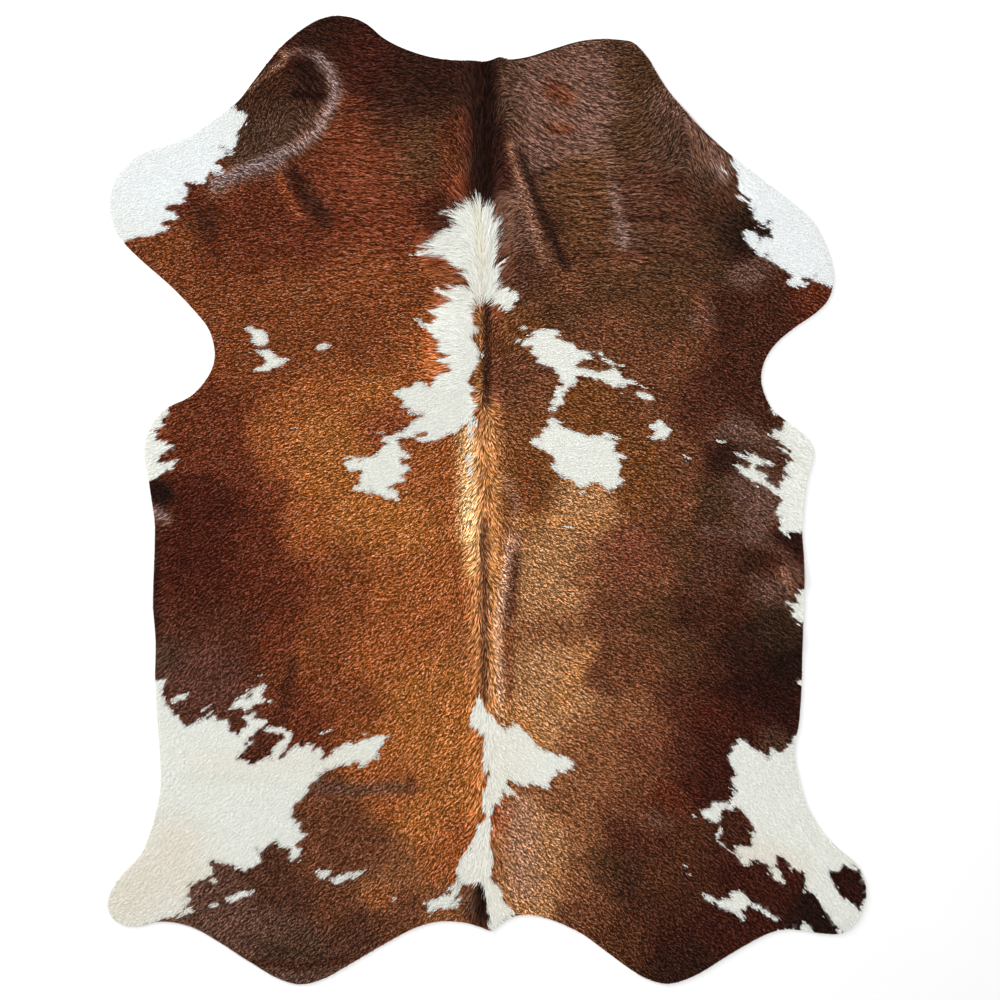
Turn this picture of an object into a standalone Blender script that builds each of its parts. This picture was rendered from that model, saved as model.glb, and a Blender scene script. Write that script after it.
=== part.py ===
"""Cowhide rug: one whole hair-on hide, lying on the floor with its hair side up.

Units are metres, +Z is up, the neck points to +Y and the rump to -Y. The origin
is on the floor, under the middle of the hide's bounding box. The solid reaches
from the underside of the leather to the tips of the hair that lies on it.
"""
import math

import bpy
import numpy as np
from mathutils import Vector, geometry

# Driving sizes
HIDE_LENGTH = 2.25           # from the neck lobes to the rump lobes
LEATHER = 0.0026             # tanned skin
SHORT_PILE = 0.0034          # body hair, lying flat on the skin
CREST_PILE = 0.0120          # long hair standing over the withers
RIM_THICKNESS = 0.0036       # cut edge of the leather with a few hairs over it
RIM_BEVEL = 0.022            # how far in from the cut edge the hair is full

# The photograph's own frame, in pixels: x to the right, y down
PHOTO_TOP = 16.0
PHOTO_BOTTOM = 984.0
PHOTO_LEFT = 108.0
PHOTO_RIGHT = 866.0
PIXEL = HIDE_LENGTH / (PHOTO_BOTTOM - PHOTO_TOP)

# Mesh sizes
RIM_STEP = 0.021             # between points along the cut edge
FOLD_STEP = 0.022            # between points along a ridge
FIELD_STEP = 0.054           # between points of the flat stretches
CLOSEST = 0.5                # a new point keeps this share of its step to the others

# Cut edge, clockwise from the neck, as photograph pixels
CUT_EDGE = {
    "neck": [
        (474, 61), (488, 62), (497, 57), (508, 59.5), (528, 57), (552, 49.5), (577, 42),
        (600, 39), (620, 40), (633, 42.5), (642, 51), (650, 61), (655, 70)],
    "right shoulder": [
        (667, 89), (681, 106.5), (699, 126.5), (720, 146), (737, 160)],
    "right foreleg": [
        (760, 178), (788, 199.5), (811, 220), (825, 245), (832, 267), (833, 283), (828, 300),
        (815, 313.5)],
    "right armpit": [
        (794, 328), (776, 343.5), (765, 360), (761, 378), (765, 396), (774, 411)],
    "right belly": [
        (787, 421.5), (802, 433.5), (812, 446), (812.5, 459), (807.5, 478), (804, 502), (802, 531),
        (804, 560), (804, 600), (802.5, 640), (801.5, 685), (799, 722), (795, 743)],
    "right hind leg": [
        (795, 760), (800, 784), (807, 806), (821, 830), (840, 850), (855, 862), (864, 878),
        (866, 895), (862, 912), (853, 926), (840, 933.5), (822, 933), (803, 930.5)],
    "right rump": [
        (789, 929), (775, 931), (758, 938), (730, 954), (703, 971), (685, 979.5), (668, 983.5),
        (651, 980), (632, 970), (602, 948), (582, 933.5), (563, 924)],
    "tail": [
        (545, 917.5), (528, 914.5), (512, 917), (500, 925), (491, 930.5), (482, 927), (465, 922.5),
        (446, 921), (430, 923)],
    "left rump": [
        (412, 929), (385, 943.5), (350, 964), (325, 978), (301, 984), (277, 977.5), (250, 961.5),
        (222, 943.5), (196, 928.5), (176, 922.5)],
    "left hind leg": [
        (159, 921.5), (143, 925), (127, 925.5), (113, 918), (108, 905), (112, 889), (126, 870.5),
        (142, 853), (151.5, 829), (158, 804), (161, 782), (160, 752), (157, 712)],
    "left belly": [
        (155.5, 677), (156, 643), (153.5, 600), (155, 548), (155, 519), (151.5, 497), (148.5, 477),
        (144.5, 454), (148.5, 432), (159, 415)],
    "left armpit": [
        (173, 405), (190, 397), (204, 383), (212.5, 368), (215, 353), (211, 334), (201, 318)],
    "left foreleg": [
        (173, 288), (144, 262.5), (126, 245), (114.5, 228), (110, 207), (112.5, 188), (123, 169.5),
        (142, 153.5), (174, 143), (192, 135), (210, 123), (229, 109)],
    "left shoulder": [
        (240, 99.5), (254, 81), (271, 59), (285, 43.5), (303, 29), (320, 19.5)],
    "left neck": [
        (336, 16), (353, 18), (368, 25), (382, 37), (400, 47), (424, 55.5), (448, 60)],
}

# Ridges where the skin stands off the floor: how high the crest of each rises, how
# far its flanks reach, and its crest line as photograph pixels. A line that runs past
# the cut edge lifts the edge itself.
MM = 0.001
RIDGES = [
    # name, rise, reach, crest line
    ("puckered arc over the left shoulder", 15 * MM, 32 * MM, [
        (280, 55), (300, 53), (318, 60), (332, 76), (336, 93), (328, 113), (312, 138),
        (288, 152), (262, 161), (232, 173), (200, 190)]),
    ("spur under the arc", 9 * MM, 26 * MM, [(276, 166), (286, 187), (299, 214)]),
    ("swell on the left neck", 7 * MM, 42 * MM, [(352, 66), (352, 96), (344, 128)]),
    ("neck wave", 6 * MM, 30 * MM, [(372, 122), (405, 124), (438, 121)]),
    ("right withers pleat", 11 * MM, 24 * MM, [(509, 138), (518, 172), (529, 214), (546, 262)]),
    ("wave across the right shoulder", 8 * MM, 30 * MM, [
        (566, 272), (610, 266), (660, 268), (712, 266), (756, 272)]),
    ("inner shoulder ridge", 8 * MM, 26 * MM, [(608, 158), (616, 198), (626, 248)]),
    ("outer shoulder ridge", 6 * MM, 26 * MM, [(652, 178), (657, 204), (646, 232)]),
    ("swell on the right neck", 8 * MM, 44 * MM, [(545, 70), (590, 84), (604, 116), (580, 140)]),
    ("roll of the right shoulder edge", 9 * MM, 30 * MM, [(668, 98), (700, 138), (728, 172)]),
    ("ridge above the right armpit", 7 * MM, 30 * MM, [(698, 286), (706, 318), (715, 352)]),
    ("slant behind the withers", 6 * MM, 30 * MM, [(524, 318), (552, 294), (592, 280)]),
    ("small left shoulder ridge", 7 * MM, 24 * MM, [(288, 304), (302, 291), (318, 277)]),
    ("right belly roll", 8 * MM, 26 * MM, [(714, 438), (744, 432), (772, 442), (798, 462)]),
    ("right flank roll", 11 * MM, 28 * MM, [(728, 520), (756, 542), (784, 566), (816, 588)]),
    ("right edge wave", 6 * MM, 26 * MM, [(752, 636), (780, 640), (815, 642)]),
    ("left belly edge wave", 9 * MM, 26 * MM, [(186, 516), (165, 513), (140, 510)]),
    ("left flank edge wave", 8 * MM, 28 * MM, [(196, 604), (170, 608), (138, 610)]),
    ("lower left flank swell", 8 * MM, 55 * MM, [(184, 646), (206, 668), (212, 700)]),
    ("ridge beside the backbone", 8 * MM, 24 * MM, [
        (514, 478), (515, 528), (508, 580), (502, 640), (500, 712)]),
    ("branch of that ridge", 5 * MM, 26 * MM, [(516, 524), (552, 526), (598, 524)]),
    ("right loin slant", 7 * MM, 30 * MM, [(556, 712), (572, 676), (592, 642)]),
    ("wave over the left thigh", 6 * MM, 30 * MM, [(150, 772), (240, 771), (326, 786), (402, 788)]),
    ("right rump swell", 8 * MM, 60 * MM, [(596, 856), (636, 838), (676, 826)]),
    ("left rump wave", 6 * MM, 30 * MM, [(232, 946), (290, 948), (350, 940)]),
]
RIDGE_ROWS = (-1.0, -0.5, 0.0, 0.5, 1.0)     # mesh rows across a ridge, in reaches

# Long-haired crest over the withers, as photograph pixels
CREST_LINE = [(481, 204), (481, 250), (478, 290)]
CREST_REACH = 30             # pixels from the crest line to where the hair is short again


def on_hide(pixel):
    """The photograph pixel (x, y) as metres in the hide's own frame."""
    x, y = pixel
    centre_x = (PHOTO_LEFT + PHOTO_RIGHT) / 2
    centre_y = (PHOTO_TOP + PHOTO_BOTTOM) / 2
    return np.array([(x - centre_x) * PIXEL, (centre_y - y) * PIXEL])


def evenly(points, step):
    """Points about a step apart along a chain of points."""
    points = np.asarray(points)
    reach = np.concatenate([[0.0], np.cumsum(np.linalg.norm(np.diff(points, axis=0), axis=1))])
    count = max(2, round(reach[-1] / step) + 1)
    at = np.linspace(0.0, reach[-1], count)
    return np.column_stack([np.interp(at, reach, points[:, axis]) for axis in range(2)])


def smooth_chain(knots, closed):
    """A fine chain of points on the smooth curve through the knots."""
    count = len(knots)
    chain = []
    for index in range(count if closed else count - 1):
        if closed:
            before, here, there, after = (knots[(index + k) % count] for k in (-1, 0, 1, 2))
        else:
            before, here, there, after = (
                knots[min(max(index + k, 0), count - 1)] for k in (-1, 0, 1, 2))
        leave = here + (there - before) / 6
        arrive = there - (after - here) / 6
        piece = geometry.interpolate_bezier(
            Vector(here), Vector(leave), Vector(arrive), Vector(there), 16)
        chain += [tuple(point)[:2] for point in piece[:-1]]
    chain.append(chain[0] if closed else tuple(knots[-1]))
    return np.array(chain)


def cut_edge():
    """The cut edge as a closed loop of evenly spaced points, without the repeated end."""
    knots = [on_hide(pixel) for stretch in CUT_EDGE.values() for pixel in stretch]
    return evenly(smooth_chain(knots, closed=True), RIM_STEP)[:-1]


def crest_line(pixels, step):
    return evenly(smooth_chain([on_hide(pixel) for pixel in pixels], closed=False), step)


def distance_along(points, line):
    """For each point its distance to a line of points, and how far along it lies, 0 to 1."""
    best = np.full(len(points), np.inf)
    along = np.zeros(len(points))
    spans = len(line) - 1
    for index in range(spans):
        start, end = line[index], line[index + 1]
        run = end - start
        share = np.clip((points - start) @ run / (run @ run), 0.0, 1.0)
        gap = np.linalg.norm(points - (start + share[:, None] * run), axis=1)
        nearer = gap < best
        best = np.where(nearer, gap, best)
        along = np.where(nearer, (index + share) / spans, along)
    return best, along


def hump(distance, reach):
    """1 on a line, falling smoothly to 0 at the given reach."""
    return 0.5 + 0.5 * np.cos(math.pi * np.clip(distance / reach, 0.0, 1.0))


def lift(points):
    """How far the underside stands off the floor at each point."""
    height = np.zeros(len(points))
    for _name, rise, reach, pixels in RIDGES:
        distance, along = distance_along(points, crest_line(pixels, FOLD_STEP))
        taper = 1.0 - np.abs(2.0 * along - 1.0) ** 3
        height = np.maximum(height, rise * taper * hump(distance, reach))
    return height


def thickness(points, edge):
    """Leather and lying hair together at each point."""
    loop = np.vstack([edge, edge[:1]])
    from_edge, _along = distance_along(points, loop)
    full = 1.0 - hump(from_edge, RIM_BEVEL)
    body = RIM_THICKNESS + (LEATHER + SHORT_PILE - RIM_THICKNESS) * full
    from_crest, _along = distance_along(points, crest_line(CREST_LINE, FOLD_STEP))
    return body + (CREST_PILE - SHORT_PILE) * hump(from_crest, CREST_REACH * PIXEL)


def is_inside(points, edge):
    """Whether each point lies within the cut edge, by counting the crossings to its right."""
    inside = np.zeros(len(points), dtype=bool)
    for start, end in zip(edge, np.roll(edge, -1, axis=0)):
        spans = (start[1] > points[:, 1]) != (end[1] > points[:, 1])
        if not spans.any():
            continue
        crossing = start[0] + (points[:, 1] - start[1]) * (end[0] - start[0]) / (end[1] - start[1])
        inside ^= spans & (points[:, 0] < crossing)
    return inside


def field_points(edge):
    """A honeycomb of points over the whole hide."""
    low, high = edge.min(axis=0), edge.max(axis=0)
    row_step = FIELD_STEP * math.sqrt(3) / 2
    points = []
    for row in range(int((high[1] - low[1]) / row_step) + 1):
        shift = FIELD_STEP / 2 if row % 2 else 0.0
        for column in range(int((high[0] - low[0]) / FIELD_STEP) + 1):
            points.append((low[0] + shift + column * FIELD_STEP, low[1] + row * row_step))
    return np.array(points)


def ridge_points(pixels, reach):
    """Rows of points along one ridge: its crest, the middle of its flanks and its feet."""
    line = crest_line(pixels, FOLD_STEP)
    along = np.gradient(line, axis=0)
    along /= np.linalg.norm(along, axis=1)[:, None]
    across = np.column_stack([-along[:, 1], along[:, 0]])
    return np.vstack([line + row * reach * across for row in RIDGE_ROWS])


def mesh_points(edge):
    """The cut edge's points, then those of the ridges and of the flat stretches inside it."""
    kept = [tuple(point) for point in edge]
    groups = [(ridge_points(pixels, reach), FOLD_STEP * CLOSEST)
              for _name, _rise, reach, pixels in RIDGES]
    groups.append((field_points(edge), FIELD_STEP * CLOSEST))
    for points, gap in groups:
        for point in points[is_inside(points, edge)]:
            if np.linalg.norm(np.array(kept) - point, axis=1).min() >= gap:
                kept.append(tuple(point))
    return np.array(kept)


def hair_material():
    material = bpy.data.materials.new("brown_cow_hair")
    material.use_nodes = True
    shader = material.node_tree.nodes["Principled BSDF"]
    shader.inputs["Base Color"].default_value = (0.19, 0.068, 0.026, 1.0)
    shader.inputs["Roughness"].default_value = 0.55
    shader.inputs["Metallic"].default_value = 0.0
    return material


def make_hide(collection):
    edge = cut_edge()
    points = mesh_points(edge)
    loop = list(range(len(edge)))
    flat, _edges, faces, _from_verts, _from_edges, _from_faces = geometry.delaunay_2d_cdt(
        [Vector(point) for point in points], [], [loop], 1, 1e-6)
    flat = np.array([tuple(point) for point in flat])
    flat_low, flat_high = flat.min(axis=0), flat.max(axis=0)
    heights = lift(flat)
    depths = thickness(flat, edge)

    centred = flat - (flat_low + flat_high) / 2
    mesh = bpy.data.meshes.new("hide")
    mesh.from_pydata([(x, y, z) for (x, y), z in zip(centred, heights)], [], faces)
    if mesh.polygons[0].normal.z < 0:
        mesh.flip_normals()
    mesh.shade_smooth()
    mesh.materials.append(hair_material())

    hide = bpy.data.objects.new("hide", mesh)
    collection.objects.link(hide)
    deepest = float(depths.max())
    pile = hide.vertex_groups.new(name="pile")
    for index, depth in enumerate(depths):
        pile.add([index], float(depth) / deepest, "REPLACE")
    body = hide.modifiers.new("leather and hair", "SOLIDIFY")
    body.thickness = deepest
    body.offset = 1.0
    body.vertex_group = "pile"
    return hide


def main():
    for thing in list(bpy.data.objects):
        bpy.data.objects.remove(thing)
    rug = bpy.data.collections.new("cowhide_rug")
    bpy.context.scene.collection.children.link(rug)
    make_hide(rug)


main()
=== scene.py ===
"""Looks of the cowhide rug: its skin with the suede underside, and every lock of its coat.

Units are metres, +Z is up and the neck points to +Y. The coat is charted in the
photograph's pixels, x to the right and y down: `on_hide` puts a pixel on the rug.
"""
import math
from typing import NamedTuple

import bpy
import numpy as np
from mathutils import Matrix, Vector, geometry
from mathutils.bvhtree import BVHTree


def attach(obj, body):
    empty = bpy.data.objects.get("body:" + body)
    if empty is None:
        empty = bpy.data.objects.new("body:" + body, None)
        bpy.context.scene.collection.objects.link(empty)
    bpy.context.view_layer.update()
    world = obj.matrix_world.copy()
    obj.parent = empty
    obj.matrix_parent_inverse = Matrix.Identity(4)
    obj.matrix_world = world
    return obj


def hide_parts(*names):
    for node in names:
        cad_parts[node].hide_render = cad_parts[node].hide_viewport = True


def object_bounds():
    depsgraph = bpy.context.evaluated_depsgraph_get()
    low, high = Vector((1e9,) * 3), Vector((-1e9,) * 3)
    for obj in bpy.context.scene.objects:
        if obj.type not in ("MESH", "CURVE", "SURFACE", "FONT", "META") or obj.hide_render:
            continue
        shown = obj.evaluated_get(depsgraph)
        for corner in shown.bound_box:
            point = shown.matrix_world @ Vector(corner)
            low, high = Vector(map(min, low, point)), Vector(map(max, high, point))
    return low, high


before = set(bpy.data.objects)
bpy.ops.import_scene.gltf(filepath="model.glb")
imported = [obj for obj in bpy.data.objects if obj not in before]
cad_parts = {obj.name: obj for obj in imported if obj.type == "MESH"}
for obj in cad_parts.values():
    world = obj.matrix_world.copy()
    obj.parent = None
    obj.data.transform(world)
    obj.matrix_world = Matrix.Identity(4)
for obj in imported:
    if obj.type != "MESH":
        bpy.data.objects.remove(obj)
cad_box = [list(corner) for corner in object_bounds()]

MM = 0.001
SEED = 20

# The photograph's frame, in pixels
PHOTO_SIDE = 1000.0
HIDE_TOP, HIDE_BOTTOM = 16.0, 984.0
HIDE_MIDDLE = np.array([487.0, 500.0])
PIXEL = (cad_box[1][1] - cad_box[0][1]) / (HIDE_BOTTOM - HIDE_TOP)

# The charts cover this part of the photograph
CHART_CORNER = np.array([92.0, 2.0])
CHART_SPAN = np.array([792.0, 998.0])
FINE, MEDIUM, COARSE = 1.0, 2.0, 4.0     # chart steps, in pixels

# Skin
LEATHER = 2.6 * MM
UNDERFUR = 1.2 * MM          # dense short hair under the locks
RIM_STEP = 5.0 * MM
TOP_STEP = 11.0 * MM
UNDERSIDE_STEP = 22.0 * MM
TOP_MARGIN = 0.6 * TOP_STEP  # between the cut edge and the first points inside it
UNDERSIDE_MARGIN = 0.5 * UNDERSIDE_STEP


# ---------------------------------------------------------------- coat chart: the browns
TONE_LIFT = 0.62             # tones are written brighter: as shares of 255 to this power
TONES = {
    # name: red, green, blue, from 0 to 255
    "pitch": (60, 26, 14),
    "soot": (70, 43, 31),
    "maroon": (84, 44, 30),
    "umber": (92, 59, 43),
    "dark red": (104, 57, 38),
    "wine": (118, 65, 40),
    "dark olive": (93, 71, 53),
    "peat": (110, 77, 56),
    "dark brown": (113, 73, 51),
    "olive": (118, 90, 66),
    "tobacco": (126, 86, 56),
    "cocoa": (126, 82, 60),
    "bay": (136, 80, 47),
    "drab": (128, 92, 73),
    "olive brown": (132, 98, 69),
    "chestnut": (149, 92, 57),
    "slate": (122, 96, 81),
    "dun": (140, 111, 98),
    "plum": (138, 100, 87),
    "khaki": (150, 107, 77),
    "old gold": (158, 114, 67),
    "rose tan": (160, 110, 84),
    "tan": (166, 111, 65),
    # Mauve, lilac, pink, blush and pearl serve the strokes below mostly as painted sheen and
    # painted highlights on the hair
    "mauve": (146, 118, 109),
    "lilac": (178, 162, 166),
    "fawn": (173, 130, 94),
    "copper": (178, 117, 76),
    "golden": (189, 131, 75),
    "amber": (199, 146, 83),
    "sand": (200, 163, 125),
    "honey": (207, 164, 115),
    "pink": (184, 148, 130),
    "blush": (199, 165, 144),
    "pearl": (216, 188, 174),
    "cream": (231, 205, 170),
}
# The browns of the large areas: between these places the tones blend into one another
BROAD_TONES = {
    # tone: places as x, y, reach in pixels
    # Painted shade: soot at (160, 496), maroon at (791, 543), umber at (719, 455), peat at (749,
    # 560) and dark brown at (762, 560) darken folds at the cut edge and hollows of the right belly
    # and flank
    "soot": [(160, 496, 6), (737, 238, 13), (790, 668, 15), (812, 916, 14), (479, 905, 8)],
    "maroon": [(753, 686, 16), (792, 700, 15), (791, 543, 8), (843, 886, 12)],
    "umber": [
        (330, 26, 20), (404, 76, 20), (440, 78, 18), (420, 102, 15), (436, 212, 10),
        (740, 652, 15), (719, 455, 9), (688, 956, 14), (660, 962, 14), (310, 80, 16)],
    "dark red": [
        (362, 46, 18), (371, 68, 16), (707, 741, 15), (703, 774, 16), (715, 784, 10),
        (749, 722, 14), (715, 761, 12), (665, 941, 13), (711, 931, 13), (727, 921, 10),
        (769, 894, 16), (738, 872, 14), (290, 60, 12)],
    "wine": [(216, 502, 16), (195, 540, 22), (196, 578, 22), (222, 520, 16), (715, 719, 14)],
    "dark olive": [(732, 226, 13), (774, 627, 13), (780, 642, 10)],
    "peat": [(280, 84, 18), (749, 560, 9), (550, 222, 7), (716, 202, 14), (624, 881, 13)],
    "dark brown": [
        (386, 130, 14), (774, 302, 13), (204, 222, 11), (762, 560, 11), (694, 618, 15),
        (732, 602, 13), (715, 669, 12), (728, 372, 18), (750, 402, 13), (770, 340, 12),
        (738, 312, 12), (711, 853, 11), (653, 914, 15), (686, 896, 14), (734, 828, 12)],
    "olive": [(635, 84, 14), (631, 126, 14), (715, 248, 13), (661, 252, 14), (719, 505, 12)],
    "tobacco": [(624, 932, 18), (636, 950, 14), (661, 881, 13), (688, 846, 11)],
    "cocoa": [
        (184, 618, 18), (232, 628, 18), (678, 756, 13), (657, 842, 13), (624, 836, 11),
        (698, 421, 12), (677, 702, 15), (690, 753, 12), (703, 399, 13), (252, 751, 14)],
    "bay": [
        (452, 136, 12), (278, 212, 18), (325, 236, 20), (250, 542, 20), (252, 584, 20),
        (186, 205, 10), (665, 795, 13), (808, 298, 12), (424, 204, 14)],
    "drab": [
        (526, 277, 11), (284, 890, 16), (268, 860, 12), (358, 931, 15), (648, 202, 15),
        (669, 235, 15), (715, 543, 15), (703, 576, 15)],
    "olive brown": [
        (428, 134, 18), (412, 174, 17), (585, 223, 15), (682, 551, 14), (600, 262, 12),
        (627, 294, 15), (669, 311, 17), (604, 865, 13), (581, 181, 15), (656, 614, 13),
        (540, 300, 11), (682, 650, 14)],
    "chestnut": [
        (330, 158, 18), (374, 160, 18), (392, 238, 20), (275, 635, 13), (216, 404, 20),
        (196, 424, 16), (454, 182, 9), (216, 446, 16), (236, 471, 14), (266, 497, 15),
        (292, 570, 17), (304, 712, 15), (298, 732, 12), (351, 122, 14), (352, 198, 18),
        (392, 190, 18), (240, 208, 20), (268, 238, 20), (236, 258, 18)],
    # Slate at (505, 76) and (506, 110) is painted grey sheen beside the mane
    "slate": [
        (505, 76, 9), (506, 110, 9), (677, 139, 14), (703, 181, 14), (170, 652, 11),
        (304, 964, 15), (280, 948, 13), (770, 736, 8), (268, 128, 16), (294, 118, 14),
        (248, 146, 12)],
    # Dun at (623, 239), (515, 200) and (524, 232) is painted sheen on the shoulder ridge and the
    # withers pleat
    "dun": [
        (623, 239, 9), (661, 101, 11), (515, 200, 9), (524, 232, 9), (214, 900, 16),
        (234, 918, 16), (276, 931, 16), (657, 820, 9), (707, 147, 9), (766, 591, 11)],
    "plum": [(208, 662, 17), (200, 688, 15)],
    "khaki": [
        (640, 660, 16), (564, 286, 9), (354, 815, 14), (379, 848, 14), (395, 918, 15),
        (595, 906, 15), (637, 774, 15), (614, 668, 13), (612, 618, 13), (316, 838, 16),
        (338, 838, 14), (320, 802, 13), (648, 412, 13), (682, 353, 13), (337, 906, 11),
        (313, 862, 14), (669, 505, 15), (682, 450, 14), (648, 585, 13), (619, 328, 15),
        (656, 378, 15), (522, 378, 12), (656, 770, 12), (627, 803, 13)],
    "old gold": [
        (516, 328, 11), (532, 505, 12), (530, 480, 12), (640, 484, 17), (640, 442, 16),
        (589, 399, 14)],
    "rose tan": [(206, 332, 11), (645, 741, 16), (619, 560, 17), (652, 562, 14)],
    "tan": [
        (232, 296, 22), (284, 294, 18), (240, 338, 22), (238, 370, 18), (184, 236, 11),
        (150, 250, 13), (196, 300, 12), (350, 270, 20), (402, 268, 18), (384, 312, 20),
        (300, 344, 22), (354, 344, 22), (342, 570, 18), (352, 606, 14), (317, 654, 16),
        (334, 694, 16), (367, 711, 15)],
    # The mauve places are painted sheen of the hair on the right neck and on the ridges and rolls
    # of the right side
    "mauve": [
        (535, 92, 13), (606, 105, 14), (581, 139, 13), (543, 151, 11), (593, 80, 12),
        (749, 275, 10), (740, 425, 9), (753, 501, 12), (753, 539, 8), (700, 319, 8)],
    "fawn": [
        (403, 865, 15), (380, 894, 11), (445, 906, 13), (562, 799, 14), (604, 774, 15),
        (575, 881, 13), (606, 761, 12), (589, 568, 15), (560, 625, 13), (585, 736, 13),
        (583, 836, 12), (640, 719, 17)],
    "copper": [(376, 418, 13), (505, 815, 7)],
    "golden": [
        (420, 342, 18), (330, 388, 20), (273, 432, 16), (285, 460, 16), (306, 520, 16),
        (304, 544, 14), (434, 476, 16), (450, 512, 12), (394, 572, 20), (400, 612, 18),
        (443, 562, 14), (446, 598, 12), (384, 652, 18), (384, 766, 16), (379, 800, 12),
        (440, 857, 16), (455, 832, 10)],
    "amber": [
        (366, 397, 16), (323, 436, 20), (318, 468, 18), (360, 518, 20), (408, 534, 20),
        (409, 694, 16), (443, 704, 14), (394, 736, 20), (451, 738, 16), (443, 772, 16),
        (460, 796, 12), (420, 824, 16)],
    "sand": [
        (564, 551, 17), (555, 662, 12), (585, 509, 17), (534, 824, 12), (542, 873, 14),
        (554, 840, 10), (529, 898, 12), (564, 518, 9), (543, 576, 13), (556, 602, 13),
        (539, 686, 15), (564, 711, 15), (530, 734, 12)],
}
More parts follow.
